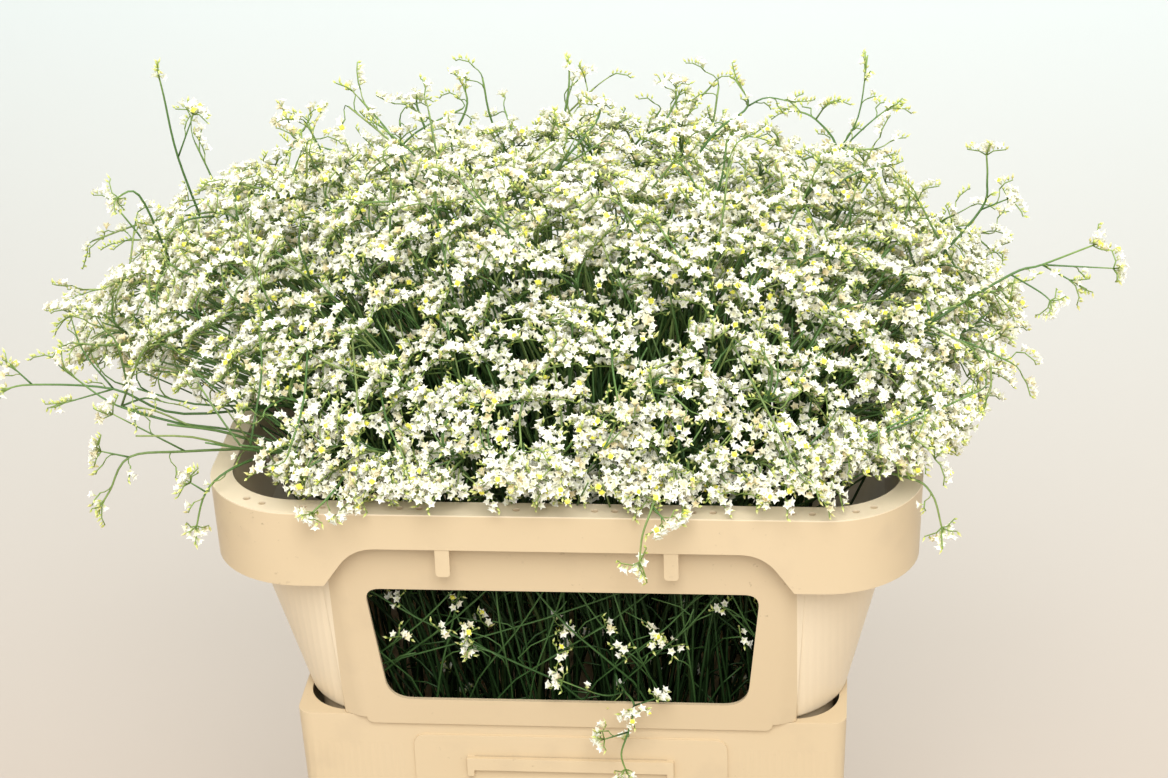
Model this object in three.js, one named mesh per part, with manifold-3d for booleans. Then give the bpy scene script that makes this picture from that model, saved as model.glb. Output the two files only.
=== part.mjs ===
// Dried statice standing in its flower container, in millimetres, +Z up.
// The origin is the middle of the container's flat underside; the window and label panel face -Y.
// The container is a bucket with a wider collar set on its rim. Each spray is one stem with its
// branches and florets. Its florets are fewer and larger than life, and cover the same dome.
import * as THREE from "three";
import Module from "manifold-3d";
import { mergeVertices } from "three/addons/utils/BufferGeometryUtils.js";

const { lerp, degToRad, radToDeg } = THREE.MathUtils;
const wasm = await Module();
wasm.setup();

// Bucket sizes
const BUCKET_HEIGHT = 281;
const BUCKET_WALL = 2.5;
const BUCKET_FLOOR = 3;
const BUCKET_FOOT = [150, 107.5, 14];
const BUCKET_TOP = [159, 115, 9];
const BUCKET_OPENING = [154.5, 110, 27];
const BUCKET_RIM_THICK = 3.5;
const LABEL_HALF_WIDTH = 91;
const LABEL_BOTTOM = 150;
const LABEL_TOP = 268.7;
const LABEL_RADIUS = 8;
const LABEL_PROUD = 1.5;
const LEDGE_HALF_WIDTH = 60;
const LEDGE_Z = 255;
const LEDGE_HEIGHT = 8;
const LEDGE_PROUD = 5;
const LEDGE_THICK = 3;
const LEDGE_END_WIDTH = 4;
const LEDGE_END_DROP = 12;

// Collar sizes; heights below are measured down from its rim
const RIM_Z = 430;
const COLLAR_WALL = 2.4;
const RIM_HALF = [200, 150, 55];
const RIM_THICK = 2.6;
const BAND_HALF = [198.5, 148.5, 54];
const BAND_DEPTH = 46;
const BAND_THICK = 2.6;
const NOTCH_DEPTH = 22;
const NOTCH_HALF_TOP = 113;
const NOTCH_HALF_BOTTOM = 131.5;
const BODY_TOP = [191, 136.5, 46];
const BODY_MID = [182.6, 129.3, 50];
const BODY_BOTTOM = [159, 115.5, 56];
const BODY_DEPTH = 148.7;
const SKIRT = [151, 106.5, 38];
const SKIRT_DEPTH = 164;
const PANEL_Y_AT_RIM = 141.5;
const PANEL_LEAN = 0.157;
const PANEL_HALF_AT_RIM = 139;
const PANEL_TAPER = 0.058;
const PANEL_TOP_DEPTH = 20;
const PANEL_SLOPE = [11, 5];
const PANEL_ROOT_Y = -105;
const PANEL_HOLLOW_Y = -90;
const APRON_DEPTH = 153;
const APRON_HALF_WIDTH = 117;
const WINDOW_TOP_DEPTH = 56;
const WINDOW_BOTTOM_DEPTH = 135;
const WINDOW_HALF_TOP = 110.8;
const WINDOW_HALF_BOTTOM = 102.7;
const WINDOW_RADIUS_TOP = 9;
const WINDOW_RADIUS_BOTTOM = 14;
const TAB_OUTER = 67;
const TAB_WIDTH = 8;
const TAB_DEPTH = 39;
const TAB_PROUD = 0.2;
const TAB_OVERLAP = 3;
const HOLE_RADIUS = 1.8;
const HOLE_SPACING = 11;
const HOLE_PAIRS_X = [-134, -80.4, -27, 27, 80.4, 134];
const HOLE_INSET = 8;
const CORNER_HOLE_ANGLE = 60.7;
const CORNER_STEPS = 3;
const CUT_FRONT_Y = -170;
const CUT_BACK_Y = -80;
const NOTCH_BACK_Y = -142;

// Sprays: rows of stems from front to back, and the dome that their florets make
const SEED = 7;
const STEMS_IN_ROW = [7, 7, 7, 7, 6];
const ROW_SLIDE = [14, -16, 15, -16, 14];
const SLIDE_Z = 335;
const SLIDE_SPAN = 48;
const CORNER_CUT = 0.28;
const STEM_FOOT_Z = BUCKET_FLOOR + 0.4;
const NECK = [
  [STEM_FOOT_Z, 100, 78],
  [270, 116, 84],
  [300, 120, 86],
  [374, 136, 98],
  [RIM_Z, 150, 112],
];
const STEM_LEVELS = [STEM_FOOT_Z, 140, 250, 310, 370];
const EDGE_JITTER = 0.3;
const STEM_SPREAD = 0.5;
const NECK_SPREAD = 0.4;
const FORK_SPREAD = 0.1;
const DOME_HALF_WIDTH = 280;
const DOME_SHIFT_X = -18;
const DOME_FRONT = 168;
const DOME_BACK = 186;
const DOME_RISE = 164;
const DOME_RISE_SIDE = 52;
const DOME_RISE_FRONT = 18;
const DOME_RISE_BACK = 30;
const DOME_RISE_LEAST = 42;
const DOME_SOFTNESS = 8;
const SIDE_FALL_POWER = 4;
const FRONT_FALL_POWER = 2.6;
const STEM_RADIUS = 2.2;
const BRANCH_RADIUS = 1.6;
const TWIG_RADIUS = 1;
const CUP_RADIUS = 12;
const CUP_LENGTH = 13;
const SPRAY_SIDES = 4;
const CORE_RADIUS = 8;
const FORK_OUT = 0.22;
const CORE_START = 0.4;
const CORE_END = 0.82;
const TOP_OUT = 1.02;
const FLORET_BAND = 25;
const FLORET_REACH = 12;
const FLORET_SIDE = 21;
const FLORET_TILT = [10, 45];
const FLORET_LEAST = 0.85;
const FLORET_DISH = 0.35;
const BRANCH_CUP_RADIUS = 11.5;
const BRANCH_START = [0.3, 0.8];
const BRANCH_BEND_OUT = 0.34;
const BRANCH_TIP_OUT = [0.88, 1.02];
const LOW_BRANCH_BEND_OUT = 0.22;
const LOW_BRANCH_TIP_OUT = [0.45, 0.59];
const SMALL_CUP_RADIUS = 6.5;
const COMB_LENGTH = 16;
const COMB_RADIUS = 2.6;
const COMB_TIP_RADIUS = 0.8;
const SPRAY_GAP = 3;

// Long sprays that stand out of the dome. Each grows from the fork or the top of one stem of the bunch,
// given by its row and its place in the row. Its first run starts there, and each other run starts at a
// point of the first.
const LONG_SPRAYS = [
  { row: 1, place: 0, from: "fork", runs: [
    { end: "buds", points: [[-220, -70, 451], [-257, -78, 470], [-302, -84, 475], [-320, -86, 472]] },
    { on: 1, end: "florets", points: [[-274, -72, 491], [-281, -68, 516]] },
    { on: 1, end: "buds", points: [[-291, -90, 464]] },
    { on: 2, end: "buds", points: [[-316, -80, 487]] },
  ] },
  { row: 0, place: 0, from: "fork", runs: [
    { end: "buds", points: [[-210, -112, 448], [-239, -124, 450], [-251, -128, 431], [-255, -130, 425]] },
    { on: 0, end: "florets", points: [[-250, -118, 475]] },
    { on: 1, end: "florets", points: [[-257, -126, 455]] },
  ] },
  { row: 0, place: 0, from: "fork", runs: [
    { end: "florets", points: [[-180, -125, 445], [-195, -134, 434], [-202, -138, 412]] },
    { on: 1, end: "florets", points: [[-206, -133, 441]] },
  ] },
  { row: 3, place: 0, from: "leader", runs: [
    { end: "buds", points: [[-242, 60, 558], [-247, 60, 596], [-249, 60, 610]] },
    { on: 0, end: "florets", points: [[-229, 60, 588]] },
  ] },
  { row: 2, place: 0, from: "leader", runs: [
    { end: "florets", points: [[-246, -22, 566], [-260, -26, 565]] },
  ] },
  { row: 3, place: 2, from: "leader", runs: [{ end: "florets", points: [[-96, 66, 584], [-98, 70, 592]] }] },
  { row: 3, place: 2, from: "leader", runs: [{ end: "buds", points: [[-69, 72, 584], [-71, 80, 598]] }] },
  { row: 3, place: 3, from: "leader", runs: [{ end: "buds", points: [[-9, 80, 590], [-8, 85, 608]] }] },
  { row: 2, place: 3, from: "leader", runs: [{ end: "florets", points: [[12, 20, 594], [15, 25, 606]] }] },
  { row: 3, place: 4, from: "leader", runs: [{ end: "florets", points: [[56, 68, 590], [56, 70, 602]] }] },
  { row: 2, place: 4, from: "leader", runs: [
    { end: "buds", points: [[82, 8, 594], [100, 12, 608], [93, 12, 624]] },
    { on: 1, end: "buds", points: [[111, 12, 613], [127, 12, 610]] },
  ] },
  { row: 2, place: 5, from: "leader", runs: [
    { end: "buds", points: [[150, 24, 575], [138, 26, 595], [122, 28, 601]] },
    { on: 1, end: "buds", points: [[145, 26, 606]] },
    { on: 0, end: "buds", points: [[162, 28, 596], [167, 30, 632]] },
    { on: 0, end: "buds", points: [[168, 22, 594], [182, 24, 605]] },
  ] },
  { row: 2, place: 6, from: "leader", runs: [
    { end: "florets", points: [[232, 12, 546], [235, 12, 564], [234, 12, 582]] },
    { on: 0, end: "florets", points: [[249, 6, 556]] },
  ] },
  { row: 1, place: 6, from: "leader", runs: [
    { end: "florets", points: [[247, -40, 528], [264, -40, 534], [294, -40, 547]] },
    { on: 1, end: "florets", points: [[306, -40, 532]] },
    { on: 1, end: "buds", points: [[289, -44, 521]] },
    { on: 0, end: "florets", points: [[264, -42, 518], [271, -44, 512]] },
  ] },
  { row: 0, place: 6, from: "fork", runs: [
    { end: "florets", points: [[186, -126, 446], [203, -134, 440], [210, -136, 417]] },
  ] },
  { row: 0, place: 4, from: "fork", runs: [
    { end: "florets", points: [[54, -152, 447], [55, -168, 447], [50, -177, 434], [48, -179, 416]] },
    { on: 1, end: "florets", points: [[64, -177, 440]] },
  ] },
  { row: 0, place: 1, from: "fork", runs: [
    { end: "florets", points: [[-118, -155, 448], [-131, -168, 438]] },
    { on: 0, end: "florets", points: [[-112, -170, 442]] },
  ] },
];

// One spray hangs out over the lower edge of the front window
const WINDOW_SPRAY = [
  { end: "florets", points: [[30, -86, STEM_FOOT_Z], [26, -88, 150], [25, -94, 288], [28, -103, 297.5],
    [33, -118, 301.5], [39, -129, 299], [36, -138, 287], [32, -141, 274], [35, -142, 262]] },
  { on: 4, end: "florets", points: [[21, -128, 305], [-4, -130, 316]] },
  { on: 5, end: "florets", points: [[54, -134, 308]] },
  { on: 6, end: "florets", points: [[20, -143, 284]] },
  { on: 5, end: "florets", points: [[38, -141, 301]] },
];

const PLASTIC = new THREE.MeshStandardMaterial({ color: 0xeed8ae, roughness: 0.45, metalness: 0 });
const STATICE = new THREE.MeshStandardMaterial({ color: 0xe9e6cf, roughness: 0.85, metalness: 0 });

const group = new THREE.Group();

// Closed solids from points, and joins and cuts between them

function geometryFrom(points, triangles) {
  const geometry = new THREE.BufferGeometry();
  const flat = points.flatMap((p) => [p.x, p.y, p.z]);
  geometry.setAttribute("position", new THREE.Float32BufferAttribute(flat, 3));
  geometry.setIndex(triangles);
  return geometry;
}

function solidFrom(geometry) {
  const bare = geometry.clone();
  bare.deleteAttribute("normal");
  bare.deleteAttribute("uv");
  const merged = mergeVertices(bare, 1e-4);
  return new wasm.Manifold(new wasm.Mesh({
    numProp: 3,
    vertProperties: new Float32Array(merged.attributes.position.array),
    triVerts: new Uint32Array(merged.index.array),
  }));
}

function addNode(name, solid, material) {
  const mesh = solid.getMesh();
  const geometry = new THREE.BufferGeometry();
  geometry.setAttribute("position", new THREE.BufferAttribute(new Float32Array(mesh.vertProperties), 3));
  geometry.setIndex(new THREE.BufferAttribute(new Uint32Array(mesh.triVerts), 1));
  geometry.computeVertexNormals();
  const node = new THREE.Mesh(geometry, material);
  node.name = name;
  group.add(node);
}

function join(solids) {
  return solids.reduce((whole, solid) => whole.add(solid));
}

// Rings of equal length from bottom to top, or round a closed profile, with both ends capped
function loft(rings) {
  const count = rings[0].length;
  const triangles = [];
  for (let r = 0; r + 1 < rings.length; r++) {
    for (let i = 0; i < count; i++) {
      const a = r * count + i;
      const b = r * count + (i + 1) % count;
      triangles.push(a, b, b + count, a, b + count, a + count);
    }
  }
  const last = (rings.length - 1) * count;
  for (let i = 1; i + 1 < count; i++) {
    triangles.push(0, i + 1, i);
    triangles.push(last, last + i, last + i + 1);
  }
  return solidFrom(geometryFrom(rings.flat(), triangles));
}

function roundedRing([halfX, halfY, radius], z) {
  const ring = [];
  for (const [sx, sy, turn] of [[1, -1, -90], [1, 1, 0], [-1, 1, 90], [-1, -1, 180]]) {
    for (let i = 0; i <= CORNER_STEPS; i++) {
      const angle = degToRad(turn + 90 * i / CORNER_STEPS);
      const x = sx * (halfX - radius) + radius * Math.cos(angle);
      const y = sy * (halfY - radius) + radius * Math.sin(angle);
      ring.push(new THREE.Vector3(x, y, z));
    }
  }
  return ring;
}

function shrink([halfX, halfY, radius], by) {
  return [halfX - by, halfY - by, Math.max(radius - by, 4)];
}

// A block between two level rectangles, each given as low x, high x, low y, high y and z
function block(low, high) {
  const ring = ([x0, x1, y0, y1, z]) => [
    new THREE.Vector3(x0, y0, z),
    new THREE.Vector3(x1, y0, z),
    new THREE.Vector3(x1, y1, z),
    new THREE.Vector3(x0, y1, z),
  ];
  return loft([ring(low), ring(high)]);
}

// A shape drawn in X and Z, pushed along Y from y0 to y1
function pushAlongY(shape, y0, y1) {
  const options = { depth: y1 - y0, bevelEnabled: false, curveSegments: CORNER_STEPS };
  const geometry = new THREE.ExtrudeGeometry(shape, options);
  geometry.rotateX(Math.PI / 2);
  geometry.translate(0, y1, 0);
  return solidFrom(geometry);
}

// An upright outline with round corners: widths may differ at the bottom and the top
function windowShape(halfBottom, halfTop, z0, z1, radiusBottom, radiusTop) {
  const corners = [[-halfBottom, z0, radiusBottom], [halfBottom, z0, radiusBottom],
    [halfTop, z1, radiusTop], [-halfTop, z1, radiusTop]];
  const shape = new THREE.Shape();
  corners.forEach(([x, z, radius], i) => {
    const corner = new THREE.Vector2(x, z);
    const before = new THREE.Vector2(...corners[(i + 3) % 4]).sub(corner).setLength(radius).add(corner);
    const after = new THREE.Vector2(...corners[(i + 1) % 4]).sub(corner).setLength(radius).add(corner);
    if (i === 0) shape.moveTo(before.x, before.y);
    else shape.lineTo(before.x, before.y);
    shape.quadraticCurveTo(x, z, after.x, after.y);
  });
  return shape;
}

function mirrored(solid) {
  return solid.mirror([0, 1, 0]);
}

// Bucket: a tapered tub with a flat rim, a raised label panel and a label ledge

function bucketFront(z) {
  return -lerp(BUCKET_FOOT[1], BUCKET_TOP[1], z / BUCKET_HEIGHT);
}

function makeBucket() {
  const underRim = BUCKET_HEIGHT - BUCKET_RIM_THICK;
  const tub = loft([
    roundedRing(BUCKET_FOOT, 0),
    roundedRing(BUCKET_TOP, BUCKET_HEIGHT),
    roundedRing(BUCKET_OPENING, BUCKET_HEIGHT),
    roundedRing(BUCKET_OPENING, underRim),
    roundedRing(shrink(BUCKET_TOP, BUCKET_WALL), underRim),
    roundedRing(shrink(BUCKET_FOOT, BUCKET_WALL), BUCKET_FLOOR),
  ]);
  const outline = windowShape(
    LABEL_HALF_WIDTH, LABEL_HALF_WIDTH, LABEL_BOTTOM, LABEL_TOP, LABEL_RADIUS, LABEL_RADIUS,
  );
  const proudFace = block(
    [-LABEL_HALF_WIDTH, LABEL_HALF_WIDTH, bucketFront(0) - LABEL_PROUD, bucketFront(0) + 1, 0],
    [-LABEL_HALF_WIDTH, LABEL_HALF_WIDTH, bucketFront(BUCKET_HEIGHT) - LABEL_PROUD,
      bucketFront(BUCKET_HEIGHT) + 1, BUCKET_HEIGHT],
  );
  const label = pushAlongY(outline, CUT_FRONT_Y, CUT_BACK_Y).intersect(proudFace);
  const front = bucketFront(LEDGE_Z) - LEDGE_PROUD;
  const ledge = block(
    [-LEDGE_HALF_WIDTH, LEDGE_HALF_WIDTH, front, front + LEDGE_THICK, LEDGE_Z - LEDGE_HEIGHT],
    [-LEDGE_HALF_WIDTH, LEDGE_HALF_WIDTH, front, front + LEDGE_THICK, LEDGE_Z],
  );
  const ends = [-LEDGE_HALF_WIDTH, LEDGE_HALF_WIDTH - LEDGE_END_WIDTH].map((x) => block(
    [x, x + LEDGE_END_WIDTH, front, front + LEDGE_PROUD + 1, LEDGE_Z - LEDGE_END_DROP],
    [x, x + LEDGE_END_WIDTH, front, front + LEDGE_PROUD + 1, LEDGE_Z],
  ));
  return join([tub, label, ledge, ...ends]);
}

// Collar: rim, hanging band, leaning body, skirt inside the bucket, and a windowed panel front and back

function panelY(depth, inset = 0) {
  return -(PANEL_Y_AT_RIM - PANEL_LEAN * depth - inset);
}

function panelHalf(depth, inset = 0) {
  return PANEL_HALF_AT_RIM - PANEL_TAPER * depth - inset;
}

function makePanelParts() {
  const ring = (depth, inset, back) => {
    const half = panelHalf(depth, inset);
    const front = panelY(depth, inset);
    const [across, along] = PANEL_SLOPE;
    const right = [[half - across, front], [half, front + along], [half, back]];
    const left = right.map(([x, y]) => [-x, y]).reverse();
    return [...right, ...left].map(([x, y]) => new THREE.Vector3(x, y, RIM_Z - depth));
  };
  const slab = (depth0, depth1, inset, back) => loft([ring(depth0, inset, back), ring(depth1, inset, back)]);
  const outer = slab(BODY_DEPTH, PANEL_TOP_DEPTH, 0, PANEL_ROOT_Y);
  const top = BODY_DEPTH - 1;
  const half = APRON_HALF_WIDTH;
  const apron = block(
    [-half, half, panelY(APRON_DEPTH), panelY(APRON_DEPTH, COLLAR_WALL), RIM_Z - APRON_DEPTH],
    [-half, half, panelY(top), panelY(top, COLLAR_WALL), RIM_Z - top],
  );
  const hollow = slab(
    BODY_DEPTH - COLLAR_WALL, PANEL_TOP_DEPTH + COLLAR_WALL, COLLAR_WALL, PANEL_HOLLOW_Y,
  );
  const opening = pushAlongY(windowShape(
    WINDOW_HALF_BOTTOM, WINDOW_HALF_TOP, RIM_Z - WINDOW_BOTTOM_DEPTH, RIM_Z - WINDOW_TOP_DEPTH,
    WINDOW_RADIUS_BOTTOM, WINDOW_RADIUS_TOP,
  ), CUT_FRONT_Y, CUT_BACK_Y);
  return { solid: join([outer, apron]), hollow, opening };
}

function makeNotch() {
  const shape = new THREE.Shape([
    new THREE.Vector2(-NOTCH_HALF_BOTTOM, RIM_Z - BAND_DEPTH - 2),
    new THREE.Vector2(NOTCH_HALF_BOTTOM, RIM_Z - BAND_DEPTH - 2),
    new THREE.Vector2(NOTCH_HALF_TOP, RIM_Z - NOTCH_DEPTH),
    new THREE.Vector2(-NOTCH_HALF_TOP, RIM_Z - NOTCH_DEPTH),
  ]);
  return pushAlongY(shape, CUT_FRONT_Y, NOTCH_BACK_Y);
}

function makeTabs() {
  const front = -BAND_HALF[1] - TAB_PROUD;
  const back = -BAND_HALF[1] + BAND_THICK;
  return [-TAB_OUTER, TAB_OUTER - TAB_WIDTH].map((x) => block(
    [x, x + TAB_WIDTH, front, back, RIM_Z - TAB_DEPTH],
    [x, x + TAB_WIDTH, front, back, RIM_Z - NOTCH_DEPTH + TAB_OVERLAP],
  ));
}

function holeAt(x, y) {
  const geometry = new THREE.CylinderGeometry(HOLE_RADIUS, HOLE_RADIUS, 12, 6);
  geometry.rotateX(Math.PI / 2);
  geometry.translate(x, y, RIM_Z);
  return solidFrom(geometry);
}

function makeHoles() {
  const holes = [];
  const front = RIM_HALF[1] - HOLE_INSET;
  for (const middle of HOLE_PAIRS_X) {
    for (const side of [-0.5, 0.5]) {
      holes.push(holeAt(middle + side * HOLE_SPACING, -front), holeAt(middle + side * HOLE_SPACING, front));
    }
  }
  const reach = RIM_HALF[2] - HOLE_INSET;
  const half = radToDeg(HOLE_SPACING / 2 / reach);
  for (const turn of [CORNER_HOLE_ANGLE - half, CORNER_HOLE_ANGLE + half]) {
    const angle = degToRad(turn);
    const x = RIM_HALF[0] - RIM_HALF[2] + reach * Math.cos(angle);
    const y = RIM_HALF[1] - RIM_HALF[2] + reach * Math.sin(angle);
    holes.push(holeAt(x, y), holeAt(-x, y), holeAt(x, -y), holeAt(-x, -y));
  }
  return join(holes);
}

function makeCollar() {
  const level = (depth) => RIM_Z - depth;
  const band = loft([roundedRing(BAND_HALF, level(BAND_DEPTH)), roundedRing(RIM_HALF, level(0))]);
  const bandHollow = loft([
    roundedRing(shrink(BAND_HALF, BAND_THICK), level(BAND_DEPTH + 2)),
    roundedRing(shrink(RIM_HALF, BAND_THICK), level(RIM_THICK)),
  ]);
  const body = loft([
    roundedRing(BODY_BOTTOM, level(BODY_DEPTH)),
    roundedRing(BODY_MID, level(BAND_DEPTH)),
    roundedRing(BODY_TOP, level(1)),
  ]);
  const skirt = loft([roundedRing(SKIRT, level(SKIRT_DEPTH)), roundedRing(SKIRT, level(BODY_DEPTH - 1))]);
  const inside = loft([
    roundedRing(shrink(SKIRT, COLLAR_WALL), level(SKIRT_DEPTH + 2)),
    roundedRing(shrink(SKIRT, COLLAR_WALL), level(BODY_DEPTH - COLLAR_WALL)),
    roundedRing(shrink(BODY_BOTTOM, COLLAR_WALL), level(BODY_DEPTH - COLLAR_WALL)),
    roundedRing(shrink(BODY_MID, COLLAR_WALL), level(BAND_DEPTH)),
    roundedRing(shrink(BODY_TOP, COLLAR_WALL), level(-1)),
  ]);
  const panel = makePanelParts();
  const notch = makeNotch();
  const tabs = makeTabs();
  const hanging = band.subtract(bandHollow).subtract(notch).subtract(mirrored(notch));
  const front = [panel.solid, ...tabs];
  const outer = join([hanging, body, skirt, ...front, ...front.map(mirrored)]);
  const gaps = [panel.hollow, panel.opening];
  return outer.subtract(join([inside, ...gaps, ...gaps.map(mirrored)])).subtract(makeHoles());
}

// Seeded random numbers from 0 to 1

function seeded(seed) {
  let state = seed >>> 0;
  return () => {
    state = (state + 0x6d2b79f5) >>> 0;
    let mixed = Math.imul(state ^ (state >>> 15), state | 1);
    mixed ^= mixed + Math.imul(mixed ^ (mixed >>> 7), mixed | 61);
    return ((mixed ^ (mixed >>> 14)) >>> 0) / 4294967296;
  };
}

// The bunch's half width and half depth inside the container at height z

function neckHalf(z, column) {
  const top = NECK.findIndex((row) => row[0] >= z - 1e-9);
  if (top <= 0) return NECK[0][column];
  const [low, high] = [NECK[top - 1], NECK[top]];
  return lerp(low[column], high[column], (z - low[0]) / (high[0] - low[0]));
}

// How far the dome stands over the rim

function domeRise(u, v) {
  const edge = v < 0 ? DOME_RISE_FRONT : DOME_RISE_BACK;
  const side = (DOME_RISE - DOME_RISE_SIDE) * Math.abs(u) ** SIDE_FALL_POWER;
  const depth = (DOME_RISE - edge) * Math.abs(v) ** FRONT_FALL_POWER;
  const rise = DOME_RISE - side - depth;
  return DOME_RISE_LEAST + DOME_SOFTNESS * Math.log1p(Math.exp((rise - DOME_RISE_LEAST) / DOME_SOFTNESS));
}

// A place in the bunch. u and v, from -1 to 1, say which stem it is, across and from front to back. z is
// the height inside the container, and from RIM_Z up out goes from 0 there to 1 on the dome.

function bunchPoint(u, v, z, out, slide) {
  const across = u * Math.sqrt(1 - CORNER_CUT * v * v);
  const along = v * Math.sqrt(1 - CORNER_CUT * u * u);
  const drift = slide * Math.tanh((SLIDE_Z - z) / SLIDE_SPAN) * (1 - out);
  const halfX = lerp(neckHalf(z, 1), DOME_HALF_WIDTH, out);
  const halfY = lerp(neckHalf(z, 2), v < 0 ? DOME_FRONT : DOME_BACK, out);
  const x = across * halfX + drift + DOME_SHIFT_X * out;
  return new THREE.Vector3(x, along * halfY, z + out * domeRise(u, v));
}

// Rows of stems, each with its own part of the bunch

function makeCells() {
  const random = seeded(SEED);
  const cells = [];
  const rowCount = STEMS_IN_ROW.length;
  STEMS_IN_ROW.forEach((count, row) => {
    const edges = [-1];
    for (let i = 1; i < count; i++) {
      edges.push(-1 + (2 * i + EDGE_JITTER * (random() - 0.5)) / count);
    }
    edges.push(1);
    for (let i = 0; i < count; i++) {
      cells.push({
        u: (edges[i] + edges[i + 1]) / 2,
        halfU: (edges[i + 1] - edges[i]) / 2,
        v: -1 + (2 * row + 1) / rowCount,
        halfV: 1 / rowCount,
        slide: ROW_SLIDE[row],
        row,
        place: i,
        seed: Math.floor(random() * 1e9),
      });
    }
  });
  return cells;
}

// A few-sided ring round a point, square to the direction along
function stemRing(point, along, across, radius, sides) {
  const flat = across.clone().addScaledVector(along, -across.dot(along)).normalize();
  const third = along.clone().cross(flat);
  const ring = [];
  for (let k = 0; k < sides; k++) {
    const angle = 2 * Math.PI * k / sides;
    ring.push(point.clone().addScaledVector(flat, radius * Math.cos(angle))
      .addScaledVector(third, radius * Math.sin(angle)));
  }
  return ring;
}

// Triangles between two rings with different numbers of points, both starting at the same angle
function bridge(startA, countA, startB, countB) {
  const triangles = [];
  let a = 0;
  let b = 0;
  while (a < countA || b < countB) {
    const here = startA + a % countA;
    const there = startB + b % countB;
    const moveB = (b + 1) / countB <= (a + 1) / countA && b < countB;
    if (moveB) {
      triangles.push(here, startB + (b + 1) % countB, there);
      b += 1;
    } else {
      triangles.push(here, startA + (a + 1) % countA, there);
      a += 1;
    }
  }
  return triangles;
}

// A few-sided closed stem along points. With a cup radius it ends in a five-sided floret, larger than
// life, whose mouth is round the last point and dished.
function stem(points, radii, sides, cupRadius = 0) {
  const path = points.map((point) => point.clone());
  const mouth = path.at(-1).clone();
  const outward = mouth.clone().sub(path.at(-2)).normalize();
  if (cupRadius > 0) {
    const length = Math.min(CUP_LENGTH, 1.1 * cupRadius, 0.7 * mouth.distanceTo(path.at(-2)));
    path[path.length - 1].addScaledVector(outward, -length);
  }
  const side = new THREE.Vector3(0, 1, 0);
  const rings = path.map((point, i) => {
    const before = path[Math.max(i - 1, 0)];
    const after = path[Math.min(i + 1, path.length - 1)];
    return stemRing(point, after.clone().sub(before).normalize(), side, radii[i], sides);
  });
  if (cupRadius === 0) return loft(rings);
  const vertices = rings.flat();
  const triangles = [];
  for (let i = 1; i + 1 < sides; i++) triangles.push(0, i + 1, i);
  for (let r = sides; r < vertices.length; r += sides) triangles.push(...bridge(r - sides, sides, r, sides));
  const petals = vertices.length;
  triangles.push(...bridge(petals - sides, sides, petals, 5));
  vertices.push(...stemRing(mouth, outward, side, cupRadius, 5));
  for (let k = 0; k < 5; k++) triangles.push(petals + 5, petals + k, petals + (k + 1) % 5);
  vertices.push(mouth.clone().addScaledVector(outward, -FLORET_DISH * cupRadius));
  return solidFrom(geometryFrom(vertices, triangles));
}

// One run of a long spray, which ends in a small floret cup or in a thickened comb of buds
function makeRun(path, end, radius) {
  const radii = path.map((point, i) => lerp(radius, 0.7 * radius, i / (path.length - 1)));
  if (end === "florets") return stem(path, radii, 3, SMALL_CUP_RADIUS);
  const [before, last] = path.slice(-2);
  const length = Math.min(COMB_LENGTH, 0.8 * before.distanceTo(last));
  const start = last.clone().lerp(before, length / before.distanceTo(last));
  const points = [...path.slice(0, -1), start, start.clone().lerp(last, 0.5), last];
  return stem(points, [...radii.slice(0, -1), radii.at(-1), COMB_RADIUS, COMB_TIP_RADIUS], 3);
}

function makeRuns(runs, start, radius) {
  const first = runs[0].points.map((point) => new THREE.Vector3(...point));
  return runs.map(({ on, end, points }) => {
    const own = points.map((point) => new THREE.Vector3(...point));
    if (on !== undefined) return makeRun([first[on], ...own], end, 0.7 * radius);
    return makeRun(start ? [start, ...own] : own, end, radius);
  });
}

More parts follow.
